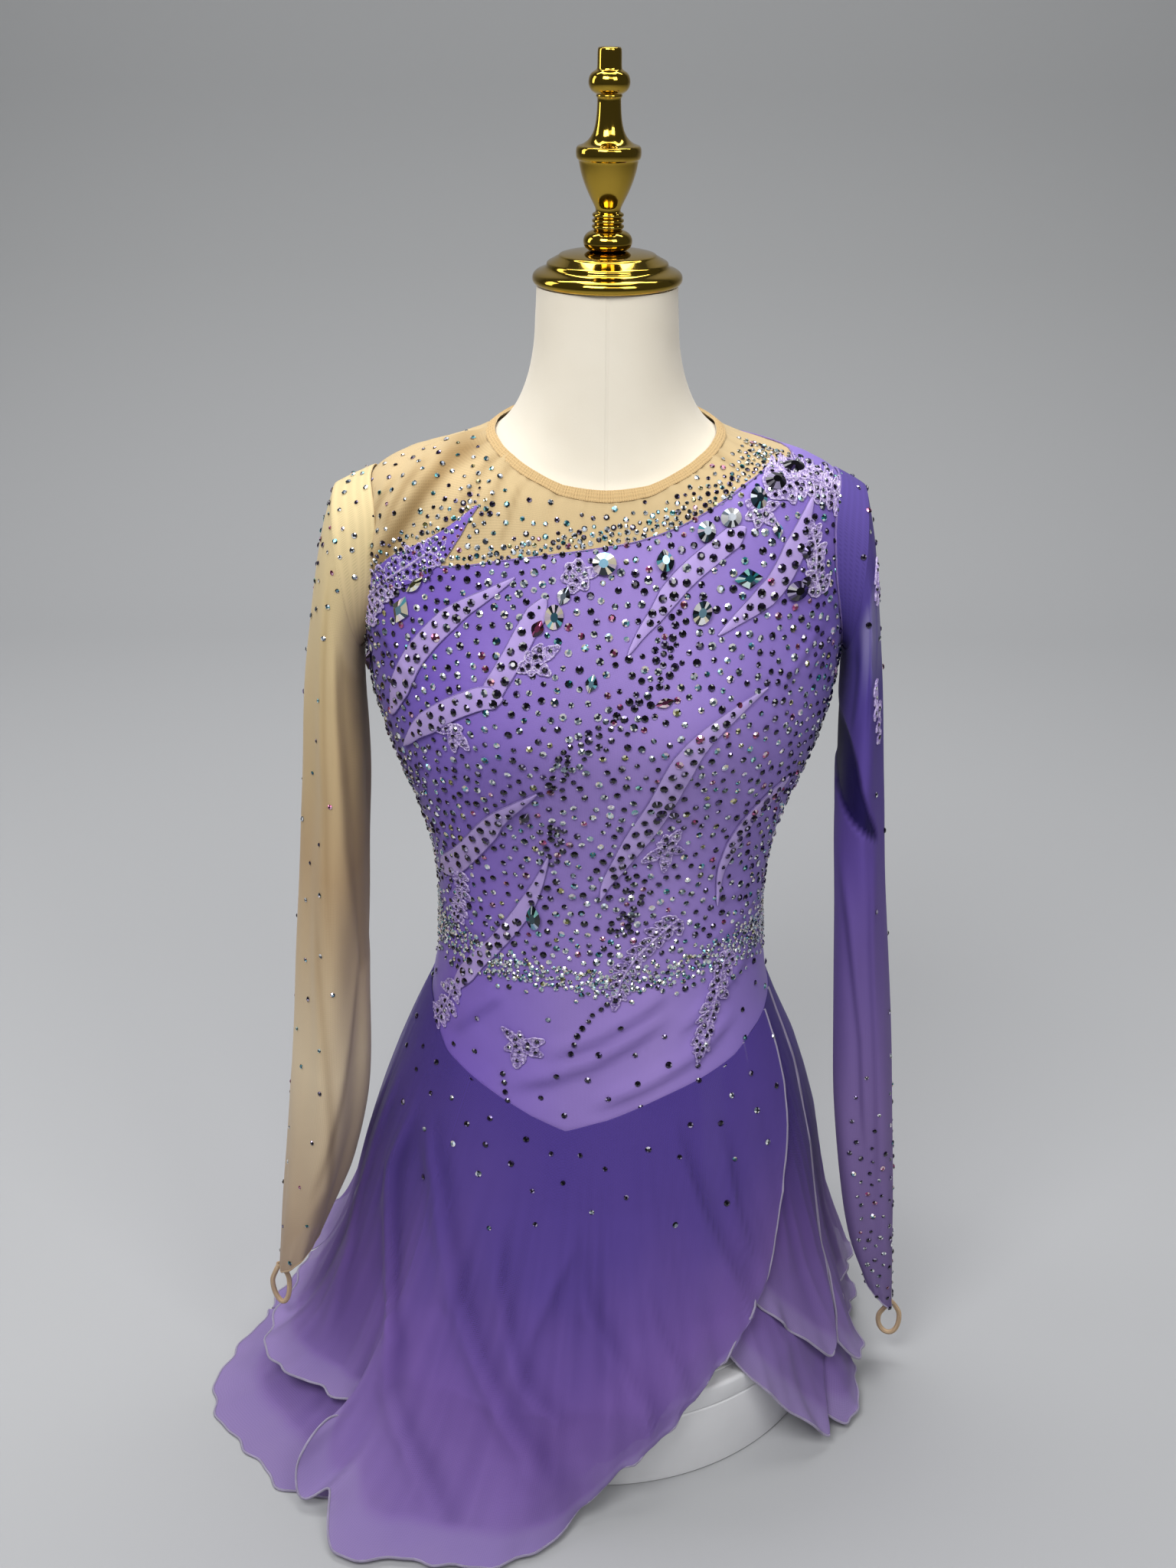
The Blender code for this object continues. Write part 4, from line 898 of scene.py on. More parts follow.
sleeves = {
    # sections: outer x and z, inner x and z, middle y, half depth
    # ridges: height, half width in degrees, darkness of the shade painted beside them, then how far down
    # and how far round
    # pocket: darkness, push inwards, and the lines that bound the cloth that falls into shadow
    "right": {
        "side": -1, "folds": ((3, 0.9, 0.0036, 0.9), (5, 2.4, 0.0018, -1.6)), "cuffGather": 0.0012,
        "ridges": ((0.0030, 13, 0.30, ((0.10, 94), (0.25, 99), (0.36, 105), (0.45, 112), (0.52, 124),
                                       (0.60, 142))),
                   (0.0020, 12, 0.22, ((0.02, 60), (0.14, 66), (0.30, 70), (0.46, 78), (0.60, 92))),
                   (0.0024, 12, 0.25, ((0.50, 58), (0.62, 76), (0.76, 98), (0.90, 122))),
                   (0.0018, 10, 0.22, ((0.56, 150), (0.66, 128), (0.76, 104), (0.88, 84)))),
        "pocket": (0.24, 0.0012, ((0.10, 104), (0.36, 112), (0.52, 130), (0.62, 150)),
                   ((0.10, 236), (0.62, 236))),
        "sections": metres((
            (1735, 6810, 1592, 5740, -20, 490), (1815, 6550, 1602, 5620, -30, 480),
            (1880, 6200, 1600, 5450, -50, 470), (1935, 5750, 1590, 5230, -80, 460),
            (1975, 5300, 1580, 4980, -110, 460), (2005, 4800, 1580, 4650, -150, 460),
            (2055, 4250, 1600, 4200, -210, 450), (2110, 3650, 1620, 3650, -280, 430),
            (2165, 3050, 1635, 3050, -350, 400), (2230, 2450, 1680, 2450, -430, 370),
            (2285, 1900, 1790, 1980, -500, 340), (2330, 1500, 1900, 1680, -570, 280),
            (2365, 1050, 2050, 1340, -640, 210),
        )),
    },
    "left": {
        "side": 1, "folds": ((3, 2.2, 0.0032, -0.8), (4, 0.4, 0.0018, 1.5)), "cuffGather": 0.0010,
        "ridges": ((0.0022, 12, 0.30, ((0.04, 118), (0.12, 112), (0.20, 118), (0.27, 126))),
                   (0.0014, 8, 0.20, ((0.02, 76), (0.10, 74), (0.20, 80), (0.32, 84))),
                   (0.0012, 7, 0.20, ((0.03, 52), (0.12, 50), (0.24, 52))),
                   (0.0022, 12, 0.24, ((0.44, 150), (0.54, 122), (0.66, 100), (0.80, 92))),
                   (0.0018, 12, 0.20, ((0.42, 70), (0.56, 74), (0.72, 66), (0.86, 62)))),
        # the upper front is one sheer layer: how pale, its upper edge, and where it ends below
        "sheer": (0.42, ((0.160, 0.604), (0.178, 0.672)), 0.600, 0.550),
        "pocket": (0.97, 0.0034,
                   ((0.20, 170), (0.268, 127), (0.32, 107), (0.37, 93), (0.41, 73), (0.46, 35)),
                   ((0.20, 236), (0.37, 230), (0.385, 150), (0.41, 118), (0.43, 85), (0.46, 36))),
        "sections": metres((
            (1665, 6830, 1592, 5740, -30, 470), (1725, 6550, 1600, 5620, -60, 450),
            (1775, 6150, 1595, 5450, -100, 440), (1810, 5750, 1585, 5230, -140, 440),
            (1845, 5300, 1575, 4980, -180, 440), (1880, 4800, 1575, 4650, -220, 430),
            (1925, 4250, 1597, 4200, -260, 420), (1985, 3650, 1625, 3650, -300, 400),
            (2055, 3000, 1665, 3000, -330, 370), (2110, 2350, 1710, 2350, -360, 340),
            (2160, 1700, 1785, 1750, -380, 300), (2205, 1100, 1880, 1220, -400, 250),
            (2245, 550, 2020, 820, -420, 180),
        )),
    },
    "sides": 100, "rows": 150, "capRows": 12, "wall": 0.0007, "lapOut": 0.0030, "lap": 0.0008,
    # the cap's swell, the cloth's slack, and the half depths that folds need to reach full height
    "capSwell": 0.0012, "slack": 0.0016, "foldRoom": 0.03, "ridgeRoom": 0.015,
}


def sleeveFold(sleeve, degrees, v):
    lift, dense = 0.0, 0.0
    for rise, halfWidth, dark, line in sleeve["ridges"]:
        if line[0][0] < v < line[-1][0]:
            share = (v - line[0][0])/(line[-1][0] - line[0][0])
            ends = fade(share, 0.0, 0.25)*fade(share, 1.0, 0.75)
            aside = (degrees - straightRow(line, v)[0])/halfWidth
            lift += rise*ends*math.exp(-(aside/(0.6 if aside > 0 else 1.0))**2)
            # painted shade beside the ridge
            dense += dark*ends*math.exp(-((aside - 0.6)/0.5)**2)
    dark, push, upper, lower = sleeve["pocket"]
    if upper[0][0] < v < upper[-1][0]:
        inside = fade(degrees, straightRow(upper, v)[0], straightRow(upper, v)[0] + 9)
        inside *= fade(degrees, straightRow(lower, v)[0] + 12, straightRow(lower, v)[0])
        inside *= fade(v, upper[0][0], upper[0][0] + 0.06)*fade(v, upper[-1][0], upper[-1][0] - 0.02)
        lift -= push*inside
        # painted shadow in the pocket
        dense += dark*inside
    return lift, min(dense, 1.0)


def sleeveGrid(sleeve):
    side, sections = sleeve["side"], sleeve["sections"]
    count, sides = sleeves["rows"], sleeves["sides"]
    middle = formPoint(side*math.pi/2, seams["armholeLevel"], sleeves["lapOut"])
    seamLoop = []
    for i in range(sides):
        edge = formPoint(*armholePoint(side, 2*math.pi*i/sides), sleeves["lapOut"])
        seamLoop.append(edge + (edge - middle).normalized()*sleeves["lap"])
    grid, dense = [], []
    capRows = sleeves["capRows"]
    for j in range(count + 1):
        v = j/count
        outerX, outerZ, innerX, innerZ, y, depth = smoothRow(sections, (len(sections) - 1)*v)
        centre = Vector((side*(outerX + innerX)/2, y, (outerZ + innerZ)/2))
        line, shades = [], []
        for i in range(sides):
            angle = 2*math.pi*i/sides
            share = (1 + math.cos(angle))/2
            point = Vector((side*(innerX + (outerX - innerX)*share), y - depth*math.sin(angle),
                            innerZ + (outerZ - innerZ)*share))
            reach = (point - centre).length
            outward = (point - centre).normalized()
            grow = fade(v, 0.04, 0.5)*(1 - 0.55*fade(v, 0.85, 1.0))
            lift = sum(rise*math.sin(waves*angle + phase + twist*3*v)
                       for waves, phase, rise, twist in sleeve["folds"])*grow
            slack = noise.noise(Vector((math.cos(angle)*2, math.sin(angle)*2, v*9)))
            lift += sleeves["slack"]*slack*grow
            lift += sleeve["cuffGather"]*math.sin(11*angle)*fade(v, 0.9, 1.0)*0.5
            fold, shade = sleeveFold(sleeve, math.degrees(angle), v)
            if "sheer" in sleeve:
                pale, edge, high, low = sleeve["sheer"]
                aside = besideLine(edge, abs(point.x), point.z)[0]
                turned = math.degrees(angle) - (360 if angle > math.pi else 0)
                shade -= (pale*fade(aside, 0.0, 0.006)*fade(point.z, low, high)
                          * fade(turned, 118, 96)*fade(turned, -70, 10))
            lift *= min(1.0, reach/sleeves["foldRoom"])
            line.append(point + outward*(lift + fold*min(1.0, reach/sleeves["ridgeRoom"])))
            shades.append(shade)
        grid.append(line)
        dense.append(shades)
    # the cap eases from the armhole's seam into the first section
    swell = side*sleeves["capSwell"]
    cap = [[a.lerp(b, fade(j, 0, capRows)) + Vector((swell*math.sin(math.pi*j/capRows), 0, 0))
            for a, b in zip(seamLoop, grid[0])] for j in range(capRows)]
    return cap + grid, [dense[0]]*capRows + dense


def buildSleeve(name, sleeve, material, slot, node):
    grid, dense = sleeveGrid(sleeve)
    piece = clothSheet(name, grid, material, sleeves["wall"], closed=True, dense=dense)
    rideRoot(piece, slot, *(node + half + part for half in ("_front", "_back")
                            for part in ("_upper", "_lower")))
    nude = node == "sleeve_right"
    cuff = cordPiece(name + "CuffHem", grid[-1], 0.0007, 6, elasticBinding if nude else overlockThread,
                     closed=True)
    rideRoot(cuff, slot)
    armhole = cordPiece(name + "ArmholeSeam", grid[0], 0.0004 if nude else 0.0007, 6,
                        nudeMesh if nude else stripThread, closed=True)
    rideRoot(armhole, slot)
    return piece, grid


rightSleeve, _ = buildSleeve("rightSleeve", sleeves["right"], nudeSleeveMesh, "nude_mesh", "sleeve_right")
leftSleeve, leftGrid = buildSleeve("leftSleeve", sleeves["left"], violetMesh, "violet_mesh", "sleeve_left")
print("sleeves made")


fingerLoops = {
    "finger_loop_right": {"middle": (-0.2365, -0.0640, 0.0857), "half": (0.0062, 0.0170), "cuffTip": 0.105},
    "finger_loop_left": {"middle": (0.2245, -0.0420, 0.0382), "half": (0.0080, 0.0145), "cuffTip": 0.055},
}
loopLook = {"cord": 0.0019, "sides": 10, "uvStep": (0.0018, 0.0011), "around": 48, "taper": 0.35,
            "knotRadius": 0.0018, "knotDrop": 0.0042, "knotPitch": 0.0007, "knotCord": 0.0009}


def buildFingerLoop(node, loop, look):
    # a doubled elastic that hangs from the cuff's point, with a wrapped knot at its top
    x, y, z = loop["middle"]
    halfWidth, halfHeight = loop["half"]
    path = []
    for i in range(look["around"]):
        angle = 2*math.pi*i/look["around"]
        taper = 1 - look["taper"]*fade(math.cos(angle), 0.2, 1.0)
        path.append(Vector((x + halfWidth*taper*math.sin(angle), y + 0.0012*math.sin(angle*2),
                            z + halfHeight*math.cos(angle))))
    tip, wide = Vector((x, y, loop["cuffTip"])), look["knotRadius"]
    knot = [tip + Vector((wide*math.cos(a), wide*math.sin(a),
                          -look["knotDrop"] + look["knotPitch"]*a/math.pi))
            for a in (math.pi*k/6 for k in range(31))]
    sides, (stepAlong, stepRound) = look["sides"], look["uvStep"]
    ring, ringFaces = tubeRing(path, look["cord"], sides, True)
    wrap, wrapFaces = tubeRing(knot, look["knotCord"], 8, False)
    faces = ringFaces + [tuple(k + len(ring) for k in face) for face in wrapFaces]
    piece = meshPiece(camelName(node), ring + wrap, faces, elasticBinding)
    setUv(piece, [c for l in piece.data.loops
                  for c in (l.vertex_index//sides*stepAlong, l.vertex_index % sides*stepRound)])
    smooth(piece, 60)
    rideRoot(piece, "nude_mesh", node)


for loopNode, loop in fingerLoops.items():
    buildFingerLoop(loopNode, loop, loopLook)


# Skirt: six sheets that fall from the hip seam in folds

skirtShape = {
    # radius that the skirt hangs at: height, then front, viewer's right, back, viewer's left
    "cone": metres((
        (3300, 920, 1185, 890, 1185), (3000, 955, 1290, 940, 1295), (2650, 1020, 1430, 1030, 1420),
        (2350, 1095, 1515, 1110, 1520), (2000, 1205, 1600, 1220, 1630), (1650, 1355, 1650, 1380, 1725),
        (1250, 1545, 1715, 1570, 1820), (800, 1815, 1840, 1840, 1960), (500, 1920, 1900, 1940, 2060),
        (0, 2150, 2010, 2110, 2240),
    )),
    "roundness": 2.2, "foldCount": 13, "foldTurn": -44, "foldFront": 0.0035, "foldBack": 0.0080,
    "foldStart": 0.29, "tableHem": 0.0014, "dropPower": 1.45, "flarePower": 5, "seamDrop": 0.0010,
    "seamLap": 0.0016, "wall": 0.0006, "flutter": 0.0016, "slack": 0.0020, "pinch": 0.0022,
    "hemWaves": (46, 81), "hemRise": 0.0012, "riseWaves": 52, "tableFolds": 0.02,
    # the single layer at the hem: how deep, how pale; then the shadows, and how fast the dye runs
    "band": 0.015, "bandPale": 0.24, "leftShadow": 0.16, "sideShadow": 0.26, "creaseShadow": 0.75,
    "mostShadow": 0.8, "wrapRun": 0.80,
}
# each sheet: how far outside the cone, how far its top lies off the form, cells across and
# down, and its hem: turn at the seam, turn at the hem, radius and height of the hem
skirtSheets = {
    "skirt_front_wrap": (0.0070, 0.0036, 210, 100, metres((
        (73.0, 41.5, 1680, 1330), (58.0, 30.0, 1800, 1000), (44.0, 20.5, 1880, 790),
        (30.0, 12.5, 1930, 580), (17.0, 4.0, 2000, 350), (6.0, -3.0, 2140, 140), (-4.0, -8.0, 2360, 55),
        (-12.0, -15.0, 2570, 52), (-20.0, -23.0, 2720, 52), (-27.0, -30.0, 2870, 52),
        (-32.0, -35.0, 3030, 52), (-36.0, -38.5, 2930, 80), (-39.0, -42.5, 2720, 200),
        (-41.5, -45.5, 2810, 110), (-44.0, -48.5, 2800, 220), (-46.5, -49.5, 2680, 360),
        (-49.0, -50.0, 2480, 450), (-51.0, -48.0, 2320, 470), (-53.5, -45.6, 2170, 530),
        (-56.0, -45.4, 2090, 640), (-59.0, -50.0, 2250, 470), (-63.0, -55.0, 2360, 440),
        (-67.0, -60.0, 2460, 440), (-72.0, -66.0, 2570, 440), (-77.0, -71.0, 2570, 450),
        (-82.0, -77.0, 2500, 480), (-86.0, -83.0, 2400, 540), (-89.8, -89.8, 2280, 640),
    ))),
    "skirt_front_under": (-0.0030, 0.0009, 140, 90, metres((
        (40.0, 20.0, 1720, 900), (28.0, 12.5, 1840, 640), (16.0, 4.0, 1910, 450), (5.0, -5.0, 1990, 260),
        (-6.0, -13.0, 2090, 125), (-17.0, -22.0, 2220, 14), (-27.0, -31.0, 2340, 14),
        (-36.0, -39.0, 2430, 14), (-43.0, -46.0, 2680, 14), (-49.0, -51.0, 2880, 14),
        (-55.0, -57.0, 2940, 14), (-62.0, -63.0, 2985, 14), (-70.0, -70.0, 2990, 14),
        (-78.0, -77.0, 2930, 14), (-84.0, -84.0, 2810, 14), (-89.8, -90.8, 2620, 14),
    ))),
    "skirt_side_upper": (0.0020, 0.0028, 54, 90, metres((
        (59.0, 36.0, 1530, 1500), (64.0, 42.0, 1660, 1230), (69.0, 47.0, 1780, 1030),
        (73.0, 51.5, 1880, 850), (77.0, 55.0, 1980, 700), (80.0, 58.5, 2060, 580),
        (82.5, 60.5, 1970, 640),
    ))),
    "skirt_side_lower": (-0.0030, 0.0009, 60, 90, metres((
        (50.0, 28.0, 1580, 1120), (56.0, 32.5, 1660, 930), (62.0, 36.0, 1770, 780),
        (67.0, 39.0, 1880, 630), (72.0, 42.0, 1970, 490), (76.0, 45.5, 2070, 340),
        (79.0, 48.5, 2170, 210), (81.5, 51.0, 2230, 120), (83.0, 52.5, 2050, 180),
    ))),
    "skirt_back_upper": (0.0020, 0.0028, 200, 66, metres((
        (83.2, 61.4, 1990, 620), (85.0, 64.5, 2120, 440), (88.0, 69.5, 2090, 420),
        (93.0, 78.0, 1940, 560), (101.0, 90.0, 1960, 590), (111.0, 103.0, 1980, 570),
        (122.0, 116.0, 1980, 580), (134.0, 130.0, 1980, 600), (147.0, 145.0, 1980, 620),
        (160.0, 159.0, 1980, 640), (174.0, 174.0, 1980, 660), (188.0, 188.0, 1980, 680),
        (202.0, 202.0, 1980, 700), (216.0, 216.0, 2010, 720), (230.0, 231.0, 2060, 730),
        (244.0, 245.0, 2130, 700), (257.0, 258.0, 2210, 670), (269.8, 269.8, 2280, 640),
    ))),
    "skirt_back_lower": (-0.0030, 0.0009, 200, 60, metres((
        (83.8, 53.5, 2000, 200), (86.0, 57.0, 2240, 70), (90.0, 63.0, 2160, 100), (96.0, 73.0, 2000, 190),
        (104.0, 86.0, 2000, 190), (114.0, 100.0, 2030, 160), (125.0, 114.0, 2050, 160),
        (137.0, 128.0, 2060, 180), (150.0, 144.0, 2060, 200), (163.0, 159.0, 2060, 220),
        (177.0, 174.0, 2060, 240), (191.0, 189.0, 2060, 260), (205.0, 204.0, 2070, 260),
        (219.0, 219.0, 2110, 240), (232.0, 233.0, 2180, 180), (245.0, 247.0, 2290, 100),
        (258.0, 259.0, 2430, 40), (269.8, 268.8, 2620, 14),
    ))),
}
# creases of the front wrap: height of the ridge, half width in degrees, darkness of the shade painted
# beside it, then turn and height down it
wrapCreases = (
    (0.0048, 2.6, 0.30, ((-58, 0.238), (-50, 0.207), (-44.6, 0.180), (-40, 0.159), (-36.0, 0.135),
                         (-28.8, 0.108), (-21.5, 0.085), (-14.0, 0.056), (-9.5, 0.031))),
    (0.0055, 1.9, 0.38, ((-64.6, 0.237), (-64.8, 0.199), (-60.6, 0.166), (-53.2, 0.122), (-46.8, 0.098),
                         (-44.2, 0.074))),
    (0.0034, 2.4, 0.20, ((-6, 0.170), (-3.0, 0.138), (4.2, 0.108), (9.4, 0.084), (11, 0.060))),
    (0.0036, 2.2, 0.26, ((27.0, 0.250), (28.6, 0.225), (30.6, 0.198), (33.0, 0.172), (36, 0.142))),
    (0.0045, 2.2, 0.30, ((-44, 0.072), (-38.2, 0.050), (-34.4, 0.040), (-26.5, 0.017))),
    (0.0030, 2.2, 0.24, ((-76, 0.250), (-75, 0.200), (-73, 0.150), (-69, 0.110), (-65, 0.070))),
    (0.0032, 2.2, 0.24, ((-30, 0.180), (-27, 0.150), (-22, 0.120), (-16.0, 0.094), (-9, 0.074))),
    (0.0024, 1.8, 0.20, ((-8, 0.178), (-12.7, 0.149), (-16.6, 0.120), (-17.6, 0.094))),
    (0.0022, 1.6, 0.20, ((42, 0.245), (41, 0.220), (40, 0.190), (41, 0.165))),
    (0.0024, 2.0, 0.20, ((-84, 0.240), (-83, 0.180), (-80, 0.120), (-77, 0.080))),
    (0.0020, 1.6, 0.16, ((12, 0.150), (15, 0.120), (18, 0.100), (19, 0.082))),
)


def coneRadius(turn, z):
    front, right, back, left = straightRow(skirtShape["cone"], z)
    width = right if math.sin(turn) > 0 else left
    return ovalReach(turn, width, front if math.cos(turn) > 0 else back, skirtShape["roundness"])


def foldReach(turn, z):
    shape = skirtShape
    depth = shape["foldFront"] + (shape["foldBack"] - shape["foldFront"])*(1 - math.cos(turn))/2
    fall = max(0.0, 1 - z/shape["foldStart"])
    return depth*fall**1.2*math.cos(shape["foldCount"]*(turn - math.radians(shape["foldTurn"])))


def creaseReach(turn, z):
    # a crease is steep on the side away from the light, and shade is painted beside it
    degrees, reach, dense = math.degrees(turn), 0.0, 0.0
    for rise, halfWidth, dark, line in wrapCreases:
        top, bottom = line[0][1], line[-1][1]
        if bottom - 0.02 < z < top + 0.02:
            middle = straightRow([(height, at) for at, height in line], z)[0]
            ends = fade(z, bottom - 0.02, bottom + 0.015)*fade(z, top + 0.02, top - 0.03)
            aside = (degrees - middle)/halfWidth
            reach += rise*ends*math.exp(-(aside*(1.8 if aside > 0 else 0.7))**2)
            dense += dark*ends*math.exp(-((aside - 0.9)/(0.5 if aside < 0.9 else 1.4))**2)
    return reach, dense


def skirtGrid(node, sheet):
    offset, topOut, columns, rows, hem = sheet
    count = len(hem) - 1
    grid = [[] for _ in range(rows + 1)]
    dense = [[] for _ in range(rows + 1)]
    shape = skirtShape
    wide, fine = shape["hemWaves"]
    inner = node.endswith(("under", "lower"))
    seed = 3.7*(10 if node == "skirt_front_under" else 9)
    # the outer sheets lap over the bodice's edge, the inner ones end just under it
    seamShift = -shape["seamDrop"] if inner else shape["seamLap"]
    for i in range(columns + 1):
        seamTurn, hemTurn, hemRadius, hemZ = smoothRow(hem, count*i/columns)
        turnTop, turnEnd = math.radians(seamTurn), math.radians(hemTurn)
        hemZ = max(hemZ, shape["tableHem"])
        seamZ = straightRow(seams["hip"], seamTurn)[0] + seamShift
        start = formPoint(turnTop, levelAt(turnTop, seamZ), topOut)
        startExtra = math.hypot(start.x, start.y) - coneRadius(turnTop, seamZ) - offset
        endExtra = hemRadius - coneRadius(turnEnd, hemZ) - offset
        onTable = fade(hemZ, 0.012, 0.004)
        fall = math.hypot(start.z - hemZ, hemRadius - math.hypot(start.x, start.y))
        for j in range(rows + 1):
            v = j/rows
            band = fade(fall*(1 - v)**shape["dropPower"], shape["band"], shape["band"]*0.5)
            turn = turnTop + (turnEnd - turnTop)*v
            z = start.z + (hemZ - start.z)*(1 - (1 - v)**shape["dropPower"])
            flutter = math.sin(turn*wide + seed) + 0.6*math.sin(turn*fine + 2*seed)
            fold = foldReach(turn, z)
            slack = noise.noise(Vector((turn*9 + seed, z*14, 0)))
            pinch = 0.5 - abs(noise.noise(Vector((turn*15 + seed, z*6 + turn*4, 5))))*2
            radius = (coneRadius(turn, z) + offset + startExtra*(1 - v)**6
                      + endExtra*v**shape["flarePower"] + fold + shape["flutter"]*flutter*v**9)
            radius += v*(1 - v**8)*(shape["slack"]*slack + shape["pinch"]*pinch)
            # painted shade in the fold valleys and where the cloth pinches
            shade = max(0.0, 0.06 - 9*fold - 0.10*pinch)*fade(v, 0.0, 0.4)
            # the viewer's left and the layers beside the wrap lie in shadow
            shade += shape["leftShadow"]*fade(seamTurn, -38, -70)*fade(v, 1.0, 0.6)
            if "_side_" in node:
                shade += shape["sideShadow"]*fade(v, 1.0, 0.3)
            if node == "skirt_front_wrap":
                crease, dark = creaseReach(turn, z)
                radius += crease
                shade += shape["creaseShadow"]*dark
            rise = shape["hemRise"]*v**9*(1 - onTable)*math.cos(turn*shape["riseWaves"] + seed)
            if onTable > 0:
                loose = abs(noise.noise(Vector((turn*11, v*6, seed))))
                rise += onTable*v**3*(1 - v)*shape["tableFolds"]*loose
            grid[j].append(Vector((radius*math.sin(turn), -radius*math.cos(turn), z + rise)))
            dense[j].append(min(shade, shape["mostShadow"])*(1 - band) - shape["bandPale"]*band)
    return grid, dense


def buildSkirt():
    made = {}
    for node, sheet in skirtSheets.items():
        grid, dense = skirtGrid(node, sheet)
        run = None
        if node == "skirt_front_wrap":
            # the dye stays dark for longer near the wrap's free edge
            columns, rows = sheet[2:4]
            slow = skirtShape["wrapRun"]
            run = [[j/rows*(slow + (1 - slow)*fade(i/columns, 0.05, 0.5)) for i in range(columns + 1)]
                   for j in range(rows + 1)]
        piece = clothSheet(camelName(node), grid, chiffon, skirtShape["wall"], dense=dense, run=run)
        rideRoot(piece, "chiffon", node)
        path = [line[0] for line in grid[:-1]] + grid[-1]
        if "_side_" in node:
            path += [line[-1] for line in grid[-2::-1]]
        hem = cordPiece(piece.name + "Hem", path, 0.0009, 6, overlockThread)
        rideRoot(hem, "chiffon")
        made[node] = piece
        print(piece.name, "made")
    return made


skirt = buildSkirt()


# Trims lie on the cloth: each point is dropped from the front on to the sheet below it

def treeOf(*parts):
    points, faces = [], []
    for piece in parts:
        start = len(points)
        points += [v.co.copy() for v in piece.data.vertices]
        faces += [tuple(k + start for k in face.vertices) for face in piece.data.polygons]
    return BVHTree.FromPolygons(points, faces)


bodyTree = treeOf(bodiceFront, yokeFront)
# a ray starts before the dress; a hit behind the back limit, or none, goes to the nearest place
dropFrom, backLimit = -0.5, 0.03


def dropOn(x, z, lift=0.0):
    hit, normal, _, _ = bodyTree.ray_cast(Vector((x, dropFrom, z)), Vector((0, 1, 0)))
    if hit is None or hit.y > backLimit:
        hit, normal, _, _ = bodyTree.find_nearest(Vector((x, -backLimit, z)))
    if normal.y > 0:
        normal = -normal
    return hit + normal*lift, normal


strips = metres({
    # width, share of the length that each pointed end takes, then the middle line across and up
    "strip_a": (125, 0.4, 0.16, ((-550, 6475), (-700, 6380), (-860, 6280), (-990, 6170), (-1120, 6020),
                (-1220, 5860), (-1300, 5660), (-1360, 5450))),
    "strip_b": (125, 0.16, 0.08, ((-360, 6370), (-420, 6270), (-480, 6170), (-550, 6040), (-610, 5940),
                (-670, 5840), (-700, 5770))),
    "strip_c": (130, 0.42, 0.12, ((140, 6045), (220, 6170), (310, 6280), (400, 6400), (510, 6510),
                (630, 6600), (760, 6690), (850, 6750))),
    "strip_d": (145, 0.3, 0.36, ((1280, 6880), (1220, 6740), (1170, 6620), (1110, 6500), (1030, 6390),
                (930, 6310), (810, 6230), (690, 6145))),
    "strip_e": (165, 0.34, 0.34, ((1010, 5790), (830, 5690), (650, 5560), (530, 5420), (450, 5250),
                (380, 5070), (300, 4900), (200, 4720), (110, 4550), (30, 4400), (-10, 4270))),
    "strip_f": (95, 0.16, 0.4, ((1220, 5050), (1100, 4940), (980, 4820), (900, 4700), (830, 4550),
                (780, 4390), (770, 4130))),
    "strip_g": (145, 0.46, 0.12, ((-420, 5120), (-550, 5000), (-680, 4860), (-770, 4710), (-880, 4530),
                (-990, 4360), (-1080, 4210))),
    "strip_h": (105, 0.3, 0.2, ((-350, 4600), (-410, 4400), (-490, 4200), (-600, 4000), (-720, 3820),
                (-850, 3640), (-960, 3450), (-1020, 3340))),
    "strip_i": (130, 0.1, 0.3, ((-620, 5775), (-740, 5765), (-860, 5710), (-980, 5630), (-1090, 5530),
                (-1190, 5410), (-1280, 5250))),
})
stripLook = {"along": 72, "aside": 8, "lift": 0.0009, "wall": 0.0006, "swell": 0.0004, "edge": 0.00045,
             "over": 0.0005}
# the tongue of jersey that flames up over the yoke: its left edge and its right edge, base first
flameEdges = metres((
    ((-1530, 6240), (-1460, 6370), (-1360, 6480), (-1240, 6560), (-1100, 6640), (-980, 6720),
     (-880, 6790), (-790, 6860)),
    ((-1080, 6420), (-1060, 6480), (-1010, 6520), (-960, 6580), (-920, 6640), (-880, 6700),
     (-840, 6770), (-780, 6855)),
))


def stripFrame(line, share):
    x, z = smoothRow(line, (len(line) - 1)*share)
    ahead = smoothRow(line, (len(line) - 1)*min(share + 0.01, 1.0))
    behind = smoothRow(line, (len(line) - 1)*max(share - 0.01, 0.0))
    dx, dz = ahead[0] - behind[0], ahead[1] - behind[1]
    length = math.hypot(dx, dz)
    return x, z, dx/length, dz/length


def stripHalf(strip, share):
    # straight edges between two points
    width, startTaper, endTaper = strip[:3]
    return width/2*max(0.05, min(1.0, (share/startTaper)**0.8, ((1 - share)/endTaper)**0.8))


def trimSheet(name, grid, node, material, slot):
    piece = clothSheet(name, grid, material, stripLook["wall"])
    rideRoot(piece, slot, node)
    edge = cordPiece(name + "Stitching", grid[0] + grid[-1][::-1], stripLook["edge"], 5, stripThread,
                     closed=True)
    rideRoot(edge, slot)


def buildStrip(node, strip):
    look, line = stripLook, strip[3]
    # the last strip crosses over another one
    extra = look["over"] if node == "strip_i" else 0.0
    grid = [[] for _ in range(look["aside"] + 1)]
    for i in range(look["along"] + 1):
        share = i/look["along"]
        x, z, dx, dz = stripFrame(line, share)
        half = stripHalf(strip, share)
        for j in range(look["aside"] + 1):
            v = 2*j/look["aside"] - 1
            lift = look["lift"] + extra + look["swell"]*(1 - v*v)
            grid[j].append(dropOn(x - v*half*dz, z + v*half*dx, lift)[0])
    trimSheet(camelName(node), grid, node, stripSatin, "strip_satin")


